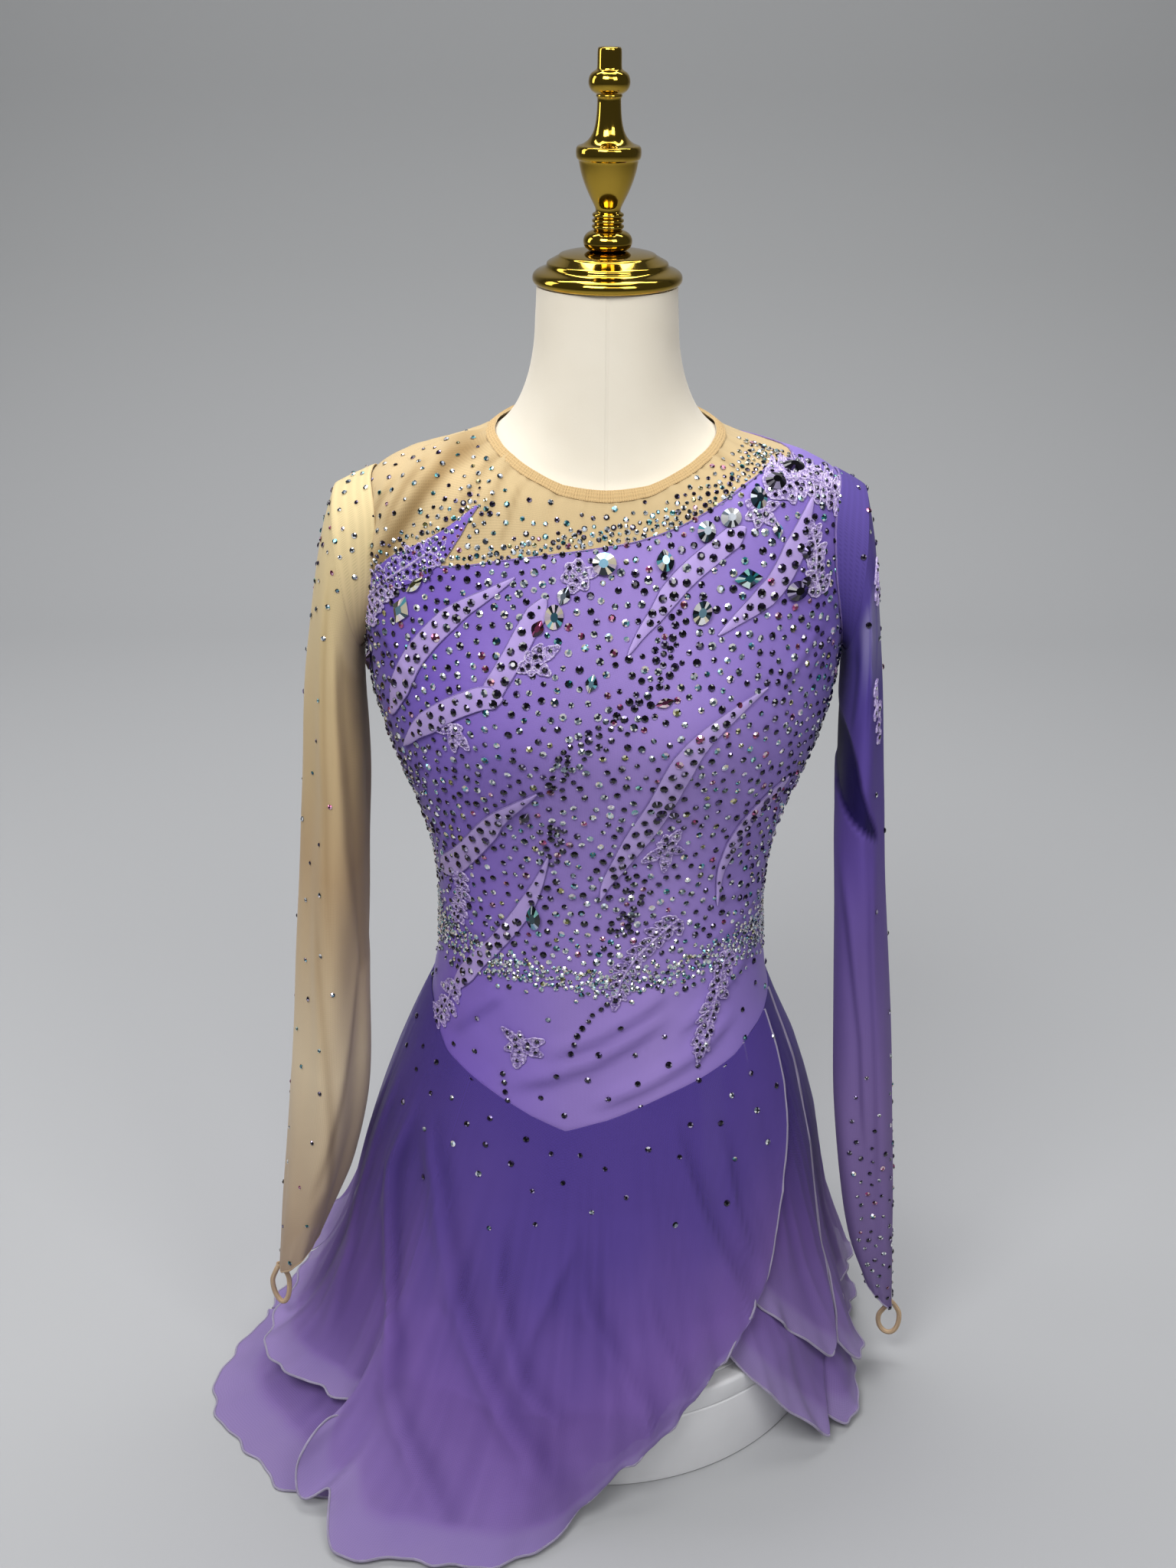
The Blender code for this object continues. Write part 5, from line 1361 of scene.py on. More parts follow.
def buildFlame(edges):
    look = stripLook
    grid = [[] for _ in range(look["aside"]*2 + 1)]
    for i in range(look["along"] + 1):
        ends = [smoothRow(edge, (len(edge) - 1)*i/look["along"]) for edge in edges]
        for j in range(look["aside"]*2 + 1):
            v = j/(look["aside"]*2)
            x, z = (a + (b - a)*v for a, b in zip(*ends))
            grid[j].append(dropOn(x, z, look["lift"] + look["swell"]*math.sin(math.pi*v))[0])
    trimSheet("flameSpike", grid, "flame_spike", lilacJersey, "lilac_jersey")


for stripNode, strip in strips.items():
    buildStrip(stripNode, strip)
buildFlame(flameEdges)
print("strips made")


# Lace: satin-stitched leaves, each with a raised rim, a net ground and rungs of thread
laceLook = {"points": 26, "lift": 0.0011, "rim": 0.00062, "thread": 0.00042, "rung": 0.0012,
            "scallop": 0.10, "wall": 0.0005, "stem": 0.0009, "rungEnds": 0.06, "rungReach": 0.86,
            "step": 0.0002}
# single leaves from a middle in metres: direction in degrees, length and width in millimetres
laceFlowers = {
    "motif_chest_left": (0.094, 0.684, ((95, 10, 6), (150, 10, 6), (205, 10, 6), (260, 10, 6), (318, 14, 6),
                                        (12, 12, 5))),
    "motif_neckline": (-0.017, 0.650, ((85, 9, 8), (140, 9, 8), (195, 10, 8), (250, 11, 8), (305, 10, 8),
                                       (10, 15, 6))),
    "motif_butterfly": (-0.044, 0.600, ((30, 19, 7), (62, 12, 7), (120, 7, 6), (212, 11, 7), (262, 8, 7),
                                        (-32, 13, 7))),
    "motif_three_petal": (-0.094, 0.553, ((200, 13, 6), (160, 7, 5), (-88, 17, 6), (-50, 16, 7),
                                          (20, 7, 5))),
    "motif_waist_middle": (0.042, 0.468, ((62, 16, 7), (100, 11, 7), (150, 8, 6), (214, 20, 7),
                                          (264, 20, 7), (-25, 12, 6))),
    "motif_hip_middle": (-0.054, 0.311, ((143, 17, 6), (97, 10, 5), (19, 17, 7), (-22, 16, 8), (206, 13, 6),
                                         (258, 18, 10))),
}
# leaves in pairs along a stem: the stem in tenths of a millimetre, pairs, spread of the leaves in
# degrees, their length and width in millimetres
laceSprays = {
    "motif_shoulder": (((980, 6950), (1100, 6970), (1220, 6960), (1340, 6920), (1490, 6810)),
                       11, 60, 12, 7),
    "motif_armhole": (((-1540, 6020), (-1500, 6170), (-1420, 6290), (-1310, 6400), (-1180, 6500),
                       (-1060, 6590)), 13, 58, 12, 7),
    "laceChestRight": (((1340, 6300), (1300, 6430), (1300, 6550), (1270, 6680)), 8, 55, 10, 6),
    "motif_waist_side": (((-960, 4300), (-930, 4170), (-950, 4040), (-980, 3940)), 6, 45, 9, 5.5),
    "motif_belt": (((500, 4080), (400, 3990), (300, 3890), (200, 3760), (140, 3640), (110, 3520)),
                   10, 44, 12.5, 6.5),
    "motif_hip_left": (((840, 3740), (810, 3560), (770, 3380), (730, 3220), (700, 3100)),
                       9, 34, 14, 6.5),
    "motif_hip_right": (((-1000, 3400), (-1050, 3260), (-1100, 3140), (-1160, 3040)), 6, 42, 9.5, 5.5),
}
# sprays on the violet sleeve: how far round in degrees, how far down, then as above
sleeveSprays = {
    "laceSleeveTop": (((44, 0.085), (50, 0.105), (46, 0.125)), 3, 50, 8, 5),
    "laceSleeveMiddle": (((66, 0.235), (62, 0.255), (66, 0.275)), 3, 34, 7, 3.5),
    "laceSleeveLow": (((46, 0.285), (50, 0.305), (46, 0.325)), 3, 50, 8, 5),
}
laceSpots = []


def bodySpot(x, z):
    return lambda a, b, lift: dropOn(x + a, z + b, lift)


def sleeveSpot(degrees, v):
    # the same, on the violet sleeve's own surface
    def spot(a, b, lift):
        column = (math.radians(degrees) - a/0.026)/(2*math.pi)*sleeves["sides"]
        row = sleeves["capRows"] + (v - b/0.60)*sleeves["rows"]
        i, j = math.floor(column) % sleeves["sides"], min(max(math.floor(row), 1), len(leftGrid) - 3)
        k, t, u = (i + 1) % sleeves["sides"], column - math.floor(column), row - math.floor(row)
        low = leftGrid[j][i].lerp(leftGrid[j][k], t)
        high = leftGrid[j + 1][i].lerp(leftGrid[j + 1][k], t)
        normal = (leftGrid[j][k] - leftGrid[j][i]).cross(leftGrid[j + 1][i] - leftGrid[j][i]).normalized()
        if normal.dot(low - Vector((0.172, -0.02, low.z))) < 0:
            normal = -normal
        return low.lerp(high, u) + normal*lift, normal
    return spot


def laceLeaf(spot, start, direction, length, width, keep):
    look = laceLook
    c, s = math.cos(math.radians(direction)), math.sin(math.radians(direction))
    x0, z0 = start

    def at(along, aside, lift):
        return spot(x0 + along*c - aside*s, z0 + along*s + aside*c, lift)

    def halfAt(t):
        return width/2*math.sin(t)*(1 + 0.30*math.cos(t))*(1 + look["scallop"]*math.cos(7*t))

    flat = []
    for i in range(look["points"]):
        t = 2*math.pi*i/look["points"]
        flat.append((length*(0.5 - 0.5*math.cos(t)), halfAt(t)))
    outline = [at(along, aside, look["lift"])[0] for along, aside in flat]
    keep(*tubeRing(outline, look["rim"], 5, True))
    rungs = max(4, round(length/look["rung"]))
    zigzag = []
    for k in range(rungs + 1):
        t = math.pi*(look["rungEnds"] + (1 - 2*look["rungEnds"])*k/rungs)
        side = look["rungReach"] if k % 2 else -look["rungReach"]
        zigzag.append(at(length*(0.5 - 0.5*math.cos(t)), side*halfAt(t), look["lift"] + look["step"])[0])
    keep(*tubeRing(zigzag, look["thread"], 4, False))
    # the net ground is a thin fan closed at its edge
    middle, normal = at(length*0.5, 0, look["lift"] - look["step"])
    top = [middle] + [at(along, aside, look["lift"] - 0.0003)[0] for along, aside in flat]
    bottom = [point - normal*look["wall"] for point in top]
    n = look["points"]
    faces = []
    for i in range(n):
        k = (i + 1) % n
        faces += [(0, 1 + k, 1 + i), (n + 1, n + 2 + i, n + 2 + k), (1 + i, 1 + k, n + 2 + k, n + 2 + i)]
    keep(top + bottom, faces)
    for share in (0.30, 0.68):
        if length > 0.0085 or share < 0.5:
            place, normal = at(length*share, random.uniform(-0.0006, 0.0006), look["lift"] + 0.0005)
            laceSpots.append((place, normal, random.uniform(0.0013, 0.0019)))


def buildLace(node, leaves, stem=()):
    # leaves: the spot that they lie on, where they start there, direction, length and width
    points, faces = [], []

    def keep(made, ring):
        faces.extend(tuple(k + len(points) for k in face) for face in ring)
        points.extend(made)

    for leaf in leaves:
        laceLeaf(*leaf, keep)
    if stem:
        line = [spot(0, 0, laceLook["lift"] + 2*laceLook["step"])[0] for spot in stem]
        keep(*tubeRing(line, laceLook["stem"], 6, False))
    piece = meshPiece(camelName(node), points, faces, laceThread)
    setUv(piece, [c for loop in piece.data.loops
                  for c in (points[loop.vertex_index].x, points[loop.vertex_index].z)])
    faceOutward(piece)
    smooth(piece, 60)
    rideRoot(piece, "lace", *([node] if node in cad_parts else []))


def sprayLeaves(line, pairs, spread, length, width, scale, spotFor):
    # scale turns the stem's own units to metres across and up
    leaves = []
    for p in range(pairs):
        share = p/(pairs - 1)
        x, z, dx, dz = stripFrame(line, share*0.94)
        heading = math.degrees(math.atan2(dz*scale[1], dx*scale[0]))
        for side in (-1, 1):
            turn = heading + side*(spread + random.uniform(-16, 16))
            size = (1 - 0.25*share)*random.uniform(0.8, 1.12)/1000
            leaves.append((spotFor(x, z), (0, 0), turn, length*size, width*size))
    x, z, dx, dz = stripFrame(line, 0.97)
    heading = math.degrees(math.atan2(dz*scale[1], dx*scale[0]))
    stem = [spotFor(*stripFrame(line, k/24)[:2]) for k in range(25)]
    return leaves + [(spotFor(x, z), (0, 0), heading, length/1000, width*0.85/1000)], stem


for node, (x, z, petals) in laceFlowers.items():
    buildLace(node, [(bodySpot(x, z), (0, 0), direction, length/1000, width/1000)
                     for direction, length, width in petals])
for node, (line, pairs, spread, length, width) in laceSprays.items():
    buildLace(node, *sprayLeaves(metres(line), pairs, spread, length, width, (1, 1), bodySpot))
for node, (line, pairs, spread, length, width) in sleeveSprays.items():
    buildLace(node, *sprayLeaves(line, pairs, spread, length, width, (-0.00045, -0.60), sleeveSpot))
print("lace made")


# Cut stones: one master is modelled, then stamped in rows and scatters

girdleTaper, stoneTilt = 0.93, 0.16


def masterStone(name, sides, table, crown, girdle):
    # a low cone cut off at its table, with a girdle drawn down from its base
    deselectAll()
    bpy.ops.mesh.primitive_cone_add(vertices=sides, radius1=1.0, radius2=table, depth=crown,
                                    location=(0, 0, girdle + crown/2))
    stone = bpy.context.object
    stone.name = name
    setMode("EDIT")
    bpy.ops.mesh.select_all(action="DESELECT")
    setMode("OBJECT")
    for face in stone.data.polygons:
        face.select = face.normal.z < -0.9
    setMode("EDIT")
    bpy.ops.mesh.extrude_region_move(TRANSFORM_OT_translate={"value": (0, 0, -girdle)})
    bpy.ops.transform.resize(value=(girdleTaper, girdleTaper, 1), center_override=(0, 0, 0))
    setMode("OBJECT")
    bpy.ops.object.transform_apply(location=True, rotation=True, scale=True)
    corners = [v.co.copy() for v in stone.data.vertices]
    faces = [(tuple(f.vertices), f.normal.z > 0.9) for f in stone.data.polygons]
    bpy.data.objects.remove(stone)
    # the order of the extruded faces changes from run to run, so they are sorted
    return corners, faces[:sides + 1] + sorted(faces[sides + 1:])


roundStone = masterStone("roundStone", sides=8, table=0.48, crown=0.36, girdle=0.20)
# colours of the coated glass, its tints with painted glints and dark reflections: colours of the flat
# table, then of the slanted facets round it
glassTintsAndGlints = {
    "dark": (("07050C", "0D0914", "181024"),
             ("06040A", "1A1226", "4C3C70", "0C0814", "C8BCE4", "120C1E", "2C2044")),
    "clear": (("2A323C", "4A5462", "8492A0"),
              ("FFFFFF", "12161C", "F4F8FC", "3C4450", "FFFFFF", "8C9AA8", "1E242C")),
    "bright": (("9CB0BA", "D4E0E4", "5C6C76"),
               ("FFFFFF", "D0E4E8", "3A464C", "FFF4DC", "88B8C4", "FFFFFF", "ECD8F0")),
    "aurora": (("3E6C80", "7FA8BC", "20303C"),
               ("FFFFFF", "1C2630", "F8E6F6", "6FC4D4", "FFF4D6", "2A4452", "101820")),
    "teal": (("0E3844", "1C6670"), ("A8F0E8", "0A1C22", "2E949C", "E4FCFA", "163C66", "0C1418")),
    "rose": (("5A2448", "8A3A60"), ("F4C4E0", "32122A", "C05890", "FFE8F0", "6C2A38", "200C18")),
    "gold": (("4C4A24", "7C7A40"), ("FAF4D0", "26240E", "C8C088", "FFFFFF", "5C6444", "14140A")),
}


def stampStones(name, spots, *nodes):
    # spots: place, normal, radius, tint, shape and a stretch for the long cuts
    points, faces, colours = [], [], []
    for place, normal, radius, tint, shape, stretch in spots:
        # glued by hand, so no two stones sit quite level
        tilt = Vector([random.uniform(-stoneTilt, stoneTilt) for _ in range(3)])
        normal = (normal + tilt).normalized()
        upright = Vector((0, 0, 1)) if abs(normal.z) < 0.95 else Vector((1, 0, 0))
        across = upright.cross(normal).normalized()
        upward = normal.cross(across)
        spin = stretch[2] if stretch else random.random()*math.pi
        c, s = math.cos(spin), math.sin(spin)
        longWay, shortWay = stretch[:2] if stretch else (radius, radius)
        start = len(points)
        for corner in shape[0]:
            a, b = corner.x*longWay, corner.y*shortWay
            points.append(place + across*(a*c - b*s) + upward*(a*s + b*c)
                          + normal*corner.z*min(longWay, shortWay))
        for corners, table in shape[1]:
            faces.append(tuple(k + start for k in corners))
            # each facet takes a colour from the coating's tints and the painted glints and dark reflections
            colours.append(linear(random.choice(glassTintsAndGlints[tint][0 if table else 1])))
    piece = meshPiece(name, points, faces, cutGlass)
    layer = piece.data.color_attributes.new("facetTintAndGlint", "FLOAT_COLOR", "CORNER")
    flat = []
    for face, colour in zip(piece.data.polygons, colours):
        flat += colour*len(face.vertices)
    layer.data.foreach_set("color", flat)
    rideRoot(piece, "crystal", *nodes)
    print(name, len(spots), "stones")


# shares of the tints, by the place that the stones are set in
tintShares = {
    "strips": (("dark", 0.90), ("clear", 0.07), ("rose", 0.03)),
    "rows": (("dark", 0.94), ("clear", 0.06)),
    "roseRow": (("dark", 0.6), ("rose", 0.4)),
    "lace": (("dark", 0.72), ("clear", 0.28)),
    "belt": (("bright", 0.50), ("clear", 0.16), ("aurora", 0.20), ("teal", 0.05), ("gold", 0.04),
             ("dark", 0.05)),
    "trails": (("dark", 0.72), ("rose", 0.10), ("clear", 0.18)),
    "hip": (("dark", 0.75), ("clear", 0.20), ("teal", 0.05)),
    "bodice": (("dark", 0.38), ("clear", 0.26), ("bright", 0.10), ("aurora", 0.13), ("teal", 0.04),
               ("rose", 0.05), ("gold", 0.04)),
    "yoke": (("clear", 0.34), ("dark", 0.24), ("aurora", 0.22), ("teal", 0.10), ("gold", 0.06),
             ("rose", 0.04)),
    "flame": (("dark", 0.45), ("clear", 0.30), ("rose", 0.12), ("aurora", 0.13)),
    "rightSleeve": (("clear", 0.34), ("aurora", 0.16), ("dark", 0.36), ("rose", 0.06), ("teal", 0.08)),
    "leftSleeve": (("clear", 0.35), ("dark", 0.48), ("rose", 0.07), ("aurora", 0.10)),
    "skirt": (("dark", 0.60), ("clear", 0.32), ("aurora", 0.08)),
}


def pickTint(where):
    roll = random.random()
    for tint, share in tintShares[where]:
        roll -= share
        if roll < 0:
            return tint
    return tintShares[where][0][0]


class Spread:
    # keeps stones from landing on each other
    def __init__(self, cell=0.004):
        self.cell = cell
        self.boxes = {}

    def key(self, point):
        return tuple(math.floor(c/self.cell) for c in point)

    def free(self, point, gap):
        reach = math.ceil(gap/self.cell)
        i, j, k = self.key(point)
        for a in range(-reach, reach + 1):
            for b in range(-reach, reach + 1):
                for c in range(-reach, reach + 1):
                    for other, room in self.boxes.get((i + a, j + b, k + c), ()):
                        if (other - point).length < max(gap, room):
                            return False
        return True

    def add(self, point, room=0.0):
        self.boxes.setdefault(self.key(point), []).append((point, room))


taken = Spread()
stoneLift = 0.0003
bigStoneLift = 0.0012
# a face smaller than this, where a sheet's cells run together, takes no stones
leastFace = 1e-7

bigStones = {
    # across, up, half length and half width in tenths of a millimetre, tilt in degrees, cut, tint
    "stone_round": (-5, 6560, 76, 70, 0, "oval", "aurora"),
    "stone_pear": (360, 6580, 70, 56, 90, "pear", "aurora"),
    "stone_rhombus": (870, 6460, 86, 56, 0, "rhombus", "teal"),
    "stone_oval_chest": (590, 6280, 76, 58, 70, "oval", "aurora"),
    "stone_teal": (-310, 6260, 78, 58, 85, "oval", "aurora"),
    "stone_blue": (-1260, 6200, 86, 58, 70, "rhombus", "aurora"),
    "stone_dark": (1180, 6350, 86, 62, 0, "oval", "dark"),
    "stone_waist": (-450, 4100, 98, 52, 90, "pear", "teal"),
}
# more large stones, on the lace and along the yoke line, in the same terms
looseStones = (
    (1040, 6970, 74, 60, 10, "oval", "dark"), (1170, 7010, 78, 54, 0, "oval", "dark"),
    (930, 6900, 72, 56, 85, "oval", "aurora"), (760, 6805, 66, 60, 20, "oval", "clear"),
    (610, 6735, 68, 58, 70, "oval", "aurora"), (-1170, 6370, 80, 36, 45, "navette", "gold"),
    (-1510, 5740, 74, 52, 85, "pear", "dark"), (-250, 6380, 62, 42, 70, "navette", "clear"),
    (-410, 6190, 58, 40, 65, "navette", "rose"), (-80, 5880, 62, 38, 75, "navette", "aurora"),
    (370, 5770, 60, 30, 15, "navette", "rose"), (-500, 4910, 58, 34, 60, "navette", "dark"),
    (1050, 6720, 54, 36, 85, "navette", "aurora"), (420, 5030, 36, 36, 0, "oval", "dark"),
    (370, 4970, 36, 36, 0, "oval", "dark"), (450, 4950, 34, 34, 0, "oval", "dark"),
    (340, 5050, 34, 34, 0, "oval", "dark"), (1240, 6390, 44, 40, 0, "oval", "dark"),
    (1240, 6570, 44, 40, 0, "oval", "dark"), (-560, 4040, 34, 30, 0, "oval", "dark"),
)


def cutShape(cut):
    # the master's rim is drawn to the outline of the cut
    corners, faces = masterStone(cut + "Stone", sides=16, table=0.40, crown=0.40, girdle=0.16)
    shaped = []
    for corner in corners:
        angle = math.atan2(corner.y, corner.x)
        reach = math.hypot(corner.x, corner.y)
        if cut == "rhombus":
            reach *= 1.12/(abs(math.cos(angle))**1.15 + abs(math.sin(angle))**1.15)
        x, y = reach*math.cos(angle), reach*math.sin(angle)
        if cut == "navette":
            y *= max(0.08, 1 - 0.75*abs(x)**1.8)
        if cut == "pear":
            y *= 1 - 0.55*max(0.0, x)**1.3
        shaped.append(Vector((x, y, corner.z)))
    return shaped, faces


cuts = {cut: cutShape(cut) for cut in ("oval", "rhombus", "navette", "pear")}


def bigSpot(row):
    x, z, longWay, shortWay = metres(row[:4])
    tilt, cut, tint = row[4:]
    place, normal = dropOn(x, z, bigStoneLift)
    taken.add(place, longWay + bigStoneLift)
    return place, normal, longWay, tint, cuts[cut], (longWay, shortWay, math.radians(tilt))


for stoneNode, row in bigStones.items():
    stampStones(camelName(stoneNode), [bigSpot(row)], stoneNode)
stampStones("stonesLarge", [bigSpot(row) for row in looseStones])


def lineLength(line):
    return sum(math.dist(a, b) for a, b in zip(line, line[1:]))


def addStone(spots, place, normal, radius, where, room, gap):
    # room is kept round the stone from now on, gap is what it needs to be set at all
    if taken.free(place, gap):
        taken.add(place, room)
        spots.append((place, normal, radius, pickTint(where), roundStone, None))


stripStoneLook = {"gap": 0.0050, "start": 0.05, "end": 0.97, "narrow": 0.0042, "aside": 0.44,
                  "jitter": 0.0008, "lift": 0.0008, "share": 0.62, "least": 0.0016, "most": 0.0031}


def stripStones(look):
    # black stones in staggered pairs where a strip is wide, in one row where it is narrow
    spots = []
    for strip in strips.values():
        line = strip[3]
        count = int(lineLength(line)/look["gap"])
        for i in range(count):
            share = (i + 0.5)/count
            half = stripHalf(strip, share)
            narrow = half < look["narrow"]
            if share < look["start"] or share > look["end"] or (narrow and i % 2):
                continue
            x, z, dx, dz = stripFrame(line, share)
            aside = 0.0 if narrow else half*(look["aside"] if i % 2 else -look["aside"])
            aside += random.uniform(-look["jitter"], look["jitter"])
            place, normal = dropOn(x - aside*dz, z + aside*dx, stripLook["lift"] + look["lift"])
            radius = min(look["most"], max(half*look["share"], look["least"]))*random.uniform(0.80, 1.0)
            addStone(spots, place, normal, radius, "strips", radius*2, radius*1.9)
    return spots


def rowStones(rows):
    # single rows of stones: the line that each follows, gap, radius and tints
    spots = []
    for line, gap, radius, where in rows:
        count = max(2, int(lineLength(line)/gap))
        for i in range(count):
            x, z, _, _ = stripFrame(line, (i + 0.5)/count)
            place, normal = dropOn(x + random.uniform(-0.0012, 0.0012), z, 0.0010)
            size = radius*random.uniform(0.85, 1.1)
            addStone(spots, place, normal, size, where, size*2, size*1.8)
    return spots


# lines, gaps and radii in tenths of a millimetre
stoneRows = metres((
    (((120, 3500), (40, 3460), (-30, 3400), (-80, 3330), (-140, 3250), (-170, 3160), (-220, 3060)),
     58, 21, "rows"),
    (((660, 2990), (670, 2880), (680, 2790)), 80, 21, "rows"),
    (((-690, 2890), (-650, 2820), (-660, 2730), (-640, 2660)), 60, 20, "rows"),
    (((-680, 5800), (-600, 5720), (-550, 5670)), 62, 24, "rows"),
    (((-820, 6810), (-790, 6880), (-760, 6960)), 30, 11, "rows"),
    (((-1060, 6500), (-980, 6580), (-910, 6680), (-850, 6770)), 40, 13, "roseRow"),
))
stampStones("stonesOnStrips", stripStones(stripStoneLook) + rowStones(stoneRows))


def laceStones():
    spots = []
    for place, normal, radius in laceSpots:
        addStone(spots, place, normal, radius, "lace", radius*2, radius*1.5)
    return spots


stampStones("stonesOnLace", laceStones())


def scatter(piece, tries, spacing, radius, where, allow, lift=stoneLift):
    # random places on a sheet, kept apart by a spacing that depends on the place; a radius is a
    # choice of sizes or a function, and where names the tints or is a function that does
    faces = [face for face in piece.data.polygons if face.area > leastFace]
    spots = []
    for _ in range(tries):
        face = random.choice(faces)
        corners = [piece.data.vertices[k].co for k in face.vertices]
        a, b = random.random(), random.random()
        place = corners[0].lerp(corners[1], a).lerp(corners[-1].lerp(corners[-2], a), b)
        normal = face.normal.copy()
        if normal.dot(Vector((place.x, place.y, 0))) < 0 or not allow(place, normal):
            continue
        gap = spacing(place)
        if gap is None or not taken.free(place, gap):
            continue
        taken.add(place)
        size = radius(place) if callable(radius) else random.choice(radius)
        tint = pickTint(where(place) if callable(where) else where)
        spots.append((place + normal*lift, normal, size, tint, roundStone, None))
    return spots


def nearLine(line, x, z):
    return abs(besideLine(line, x, z)[0])


# the dense belt of crystals, and the dark trails down the chest
beltLine = metres((
    (-1140, 3760), (-1000, 3740), (-800, 3700), (-440, 3665), (-180, 3635), (30, 3615), (340, 3640),
    (600, 3690), (810, 3730), (1010, 3770), (1130, 3760),
))
trails = metres((
    ((400, 6320), (380, 6190), (370, 6020), (350, 5890), (260, 5770), (150, 5670), (0, 5580),
     (-110, 5480), (-220, 5380), (-270, 5270), (-310, 5180)),
    ((-300, 4840), (-310, 4700), (-340, 4600)), ((220, 4400), (180, 4200), (130, 4050)),
))
beltLook = {"half": 0.0068, "spacing": 0.0027, "lift": 0.0006, "radius": (0.0015, 0.0021)}


def trailNear(x, z):
    return min(nearLine(line, x, z) for line in trails)


def onFront(place, normal):
    return normal.y < 0.25


def beltSpacing(place):
    away = nearLine(beltLine, place.x, place.z)
    half = beltLook["half"]*(1 + 0.5*fade(abs(place.x), 0.05, 0.11))
    if away > half*2.4:
        return None
    return beltLook["spacing"]*(1 + 2.2*fade(away, half*0.9, half*2.4))


stampStones("crystalBelt", scatter(bodiceFront, 90000, beltSpacing,
                                   lambda place: random.uniform(*beltLook["radius"]), "belt", onFront,
                                   lift=beltLook["lift"]))


def yokeAway(x, z):
    return nearLine(seams["yokeFront"], x, z)


# gap between stones on the bodice, then how much closer they stand by the yoke line, the dark
# trails, the side seams and the belt; the hip panel, under its top, has few
bodiceStones = {"gap": 0.0071, "byYoke": 0.0014, "byTrail": 0.0028, "bySide": 0.0008, "byBelt": 0.0012,
                "roundSide": 0.004, "hipTop": 0.352, "hipGap": 0.0185}


def bodiceSpacing(place):
    look, x, z = bodiceStones, place.x, place.z
    if z < look["hipTop"]:
        return look["hipGap"] if place.y < 0.0 else None
    if place.y > 0.02:
        return None
    gap = look["gap"]
    gap -= look["byYoke"]*fade(yokeAway(x, z), 0.040, 0.0)
    gap -= look["byTrail"]*fade(trailNear(x, z), 0.014, 0.004)
    gap -= look["bySide"]*fade(abs(x), 0.09, 0.13)
    gap -= look["byBelt"]*fade(z, 0.44, 0.39)
    return gap + (look["roundSide"] if place.y > -0.01 else 0.0)


def bodiceRadius(place):
    if place.z < bodiceStones["hipTop"]:
        return random.uniform(0.0019, 0.0025)
    if yokeAway(place.x, place.z) < 0.006:
        return random.uniform(0.0016, 0.0021)
    return random.choice((0.0018, 0.0020, 0.0022, 0.0024, 0.0026))


def bodiceWhere(place):
    if trailNear(place.x, place.z) < 0.010:
        return "trails"
    return "hip" if place.z < bodiceStones["hipTop"] else "bodice"


# the yoke's bare round the neck: half width and half depth; gaps by the flame and by the seam
yokeStones = {"bareWidth": 0.084, "bareDepth": 0.067, "byFlame": (0.0036, 0.0052, 0.0036),
              "bySeam": (0.0034, 0.0086)}


def yokeSpacing(place):
    look, x, z = yokeStones, place.x, place.z
    away = yokeAway(x, z)
    if place.y > 0.03 or (x/look["bareWidth"])**2 + (place.y/look["bareDepth"])**2 < 1:
        return None
    if x < -0.060:
        near = min(away, nearLine(flameEdges[0], x, z))
        least, more, most = look["byFlame"]
        return least + more*fade(near, 0.004, 0.022) + most*fade(near, 0.022, 0.050)
    if away > 0.036 - 0.10*max(x - 0.02, 0.0) + 0.05*max(x, 0.0) and x < 0.075:
        return None
    return look["bySeam"][0] + look["bySeam"][1]*fade(away, 0.008, 0.032)


stampStones("stonesOnBodice", scatter(bodiceFront, 80000, bodiceSpacing, bodiceRadius, bodiceWhere,
                                      onFront))
stampStones("stonesOnYoke", scatter(yokeFront, 40000, yokeSpacing, (0.0013, 0.0015, 0.0017, 0.0019), "yoke",
                                    lambda place, normal: normal.y < 0.4))


def flameStones(tries, gap):
    # the tongue of jersey is thick with stones
    spots = []
    for _ in range(tries):
        u, v = random.random()**1.1, random.random()
        ends = [smoothRow(edge, (len(edge) - 1)*u) for edge in flameEdges]
        x, z = (a + (b - a)*v for a, b in zip(*ends))
        place, normal = dropOn(x, z, 0.0016)
        if taken.free(place, gap):
            taken.add(place)
            tint = pickTint("flame")
            spots.append((place, normal, random.uniform(0.0012, 0.0018), tint, roundStone, None))
    return spots


stampStones("stonesOnFlame", flameStones(3000, 0.0029))
# gaps on the sleeves: the least and what the bare stretch adds; the most, and what the cloth by
# the hand and by the shoulder takes off
sleeveGaps = {"right": (0.0085, 0.018), "left": (0.036, 0.0290, 0.023)}


def rightSleeveSpacing(place):
    least, more = sleeveGaps["right"]
    return least + more*fade(place.z, 0.66, 0.54)


def leftSleeveSpacing(place):
    most, byHand, byShoulder = sleeveGaps["left"]
    return most - byHand*fade(place.z, 0.36, 0.18) - byShoulder*fade(place.z, 0.50, 0.66)


def outerFront(place, normal):
    # the sleeves' front, but for the cap that lies over the bodice
    return normal.y < 0.3 and abs(place.x) > 0.15


stampStones("stonesOnSleeves", scatter(
    rightSleeve, 12000, rightSleeveSpacing, (0.0014, 0.0017, 0.0019), "rightSleeve", outerFront) + scatter(
    leftSleeve, 16000, leftSleeveSpacing, (0.0014, 0.0017, 0.0020), "leftSleeve", outerFront))
skirtStones = {"top": 0.004, "foot": 0.080, "gap": 0.0175, "more": 0.014}


def skirtSpacing(place):
    look = skirtStones
    below = straightRow(seams["hip"], math.degrees(math.atan2(place.x, -place.y)))[0] - place.z
    if below > look["foot"] or below < look["top"] or place.y > -0.02:
        return None
    return look["gap"] + look["more"]*fade(below, 0.02, look["foot"])


stampStones("stonesOnSkirt", scatter(skirt["skirt_front_wrap"], 9000, skirtSpacing,
                                     (0.0018, 0.0021, 0.0023), "skirt", onFront))
print("stones set")


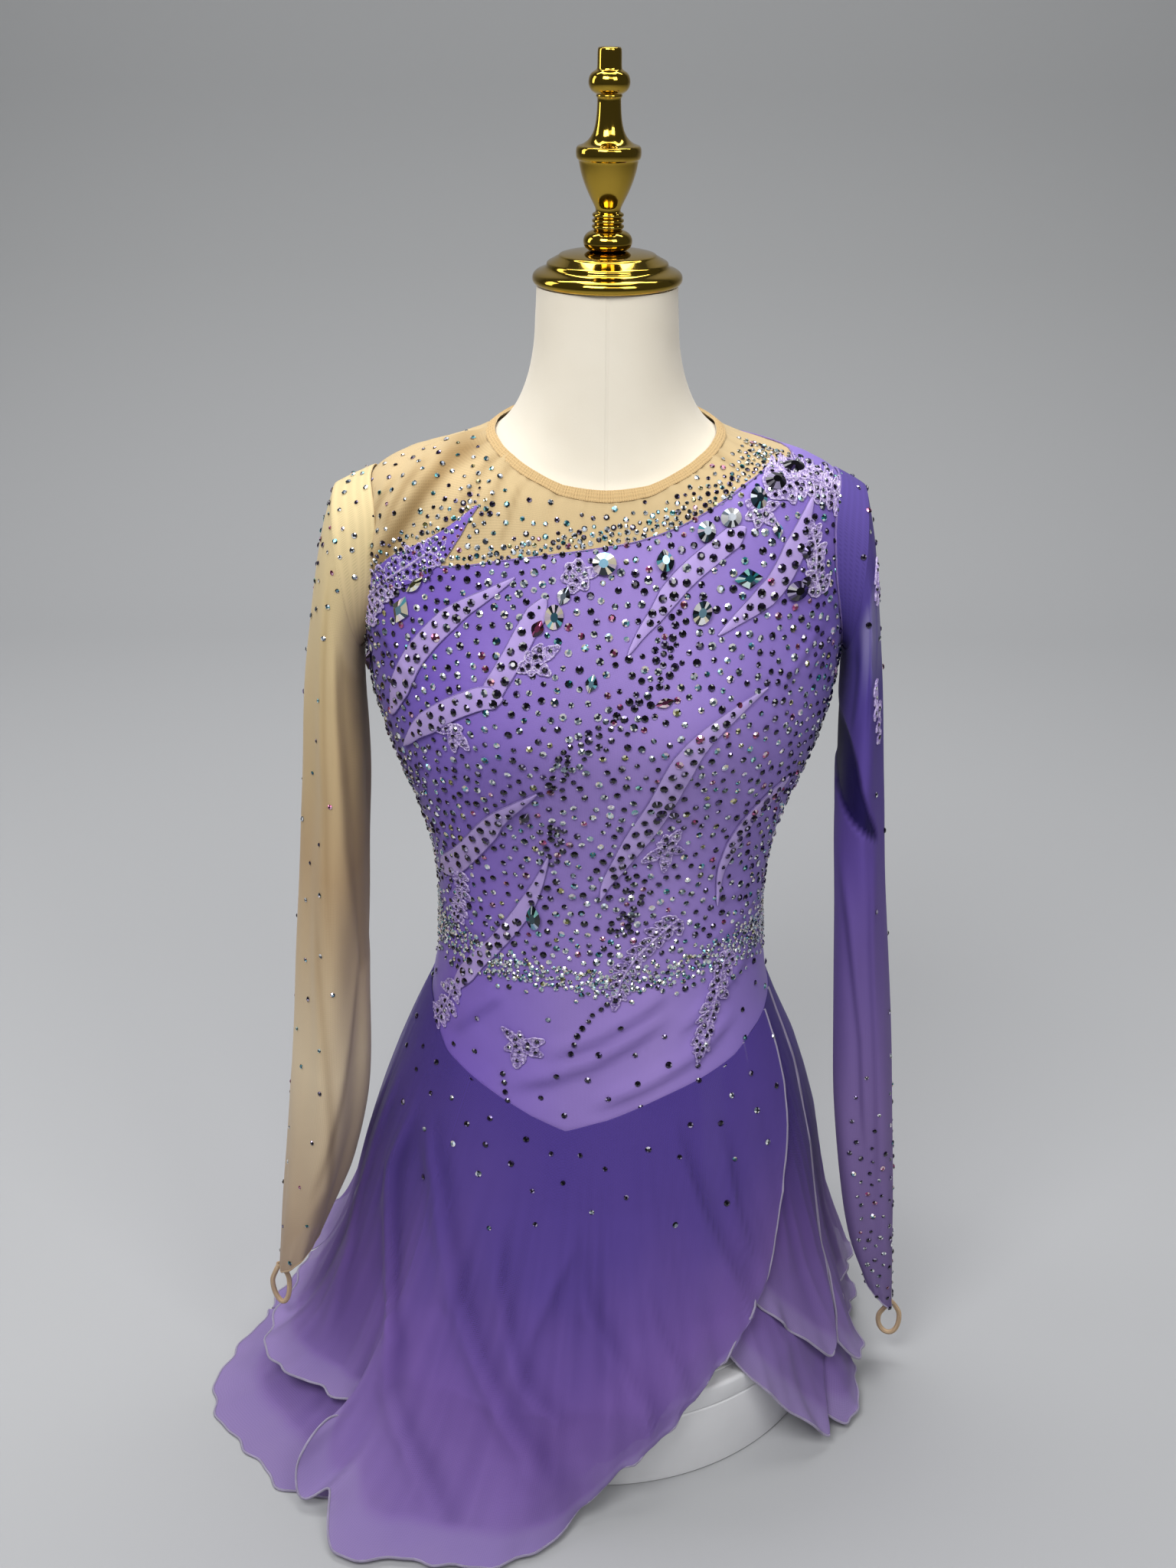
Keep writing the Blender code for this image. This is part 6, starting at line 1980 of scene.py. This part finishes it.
# Stage: pale table that runs up into a grey wall, and soft studio light

stageLook = {"half": 5.0, "front": -5.0, "bend": 1.55, "curve": 0.75, "wall": 3.2, "steps": 16}


def buildStage(look):
    profile = [(look["front"], 0.0), (look["bend"], 0.0)]
    for k in range(1, look["steps"] + 1):
        a = math.pi/2*k/look["steps"]
        profile.append((look["bend"] + look["curve"]*math.sin(a), look["curve"]*(1 - math.cos(a))))
    profile.append((look["bend"] + look["curve"], look["wall"]))
    points = [(side*look["half"], y, z) for y, z in profile for side in (-1, 1)]
    faces = [(2*k, 2*k + 1, 2*k + 3, 2*k + 2) for k in range(len(profile) - 1)]
    material, tree, shader = newMaterial("stagePaper")
    split = addNode(tree, "SeparateXYZ", links={"Vector": objectPlace(tree)})
    height = addNode(tree, "MapRange", {"From Max": 0.9}, {"Value": split.outputs["Z"]})
    colour = colourRamp(tree, height.outputs["Result"], ((0.0, "ABACAE"), (0.5, "9E9FA0"), (1.0, "98999A")))
    tree.links.new(colour, shader.inputs["Base Color"])
    setInputs(shader, {"Roughness": 0.9})
    floor = meshPiece("stagePaper", points, faces, material)
    smooth(floor, 60)


softBoxes = (
    # place, what it faces, width, height, power
    ((-0.55, -1.25, 2.05), (0, 0, 0.45), 0.9, 0.7, 26),
    ((0.85, -1.20, 1.80), (0, 0, 0.45), 0.6, 0.7, 10),
    ((0.0, 0.35, 2.3), (0, 0, 0.35), 1.1, 0.9, 15),
    ((-1.7, 0.3, 1.3), (0, 0, 0.5), 0.5, 1.2, 7),
    ((0.0, 0.9, 2.9), (0, 2.3, 0.5), 3.4, 0.6, 46),
    ((0.0, -2.6, 2.9), (0, -1.6, 0.0), 3.0, 1.0, 24),
)


def addLights(boxes):
    for i, (place, target, width, height, power) in enumerate(boxes):
        data = bpy.data.lights.new("softBox%d" % i, "AREA")
        data.shape = "RECTANGLE"
        data.size, data.size_y, data.energy = width, height, power
        light = bpy.data.objects.new(data.name, data)
        light.location = place
        light.rotation_euler = (Vector(target) - Vector(place)).to_track_quat("-Z", "Y").to_euler()
        light.visible_camera = False
        bpy.context.scene.collection.objects.link(light)
    world = bpy.data.worlds.new("studio")
    world.use_nodes = True
    setInputs(world.node_tree.nodes["Background"], {"Color": linear("B8BABC"), "Strength": 0.16})
    bpy.context.scene.world = world


buildStage(stageLook)
addLights(softBoxes)
bpy.context.scene.view_settings.view_transform = "Standard"
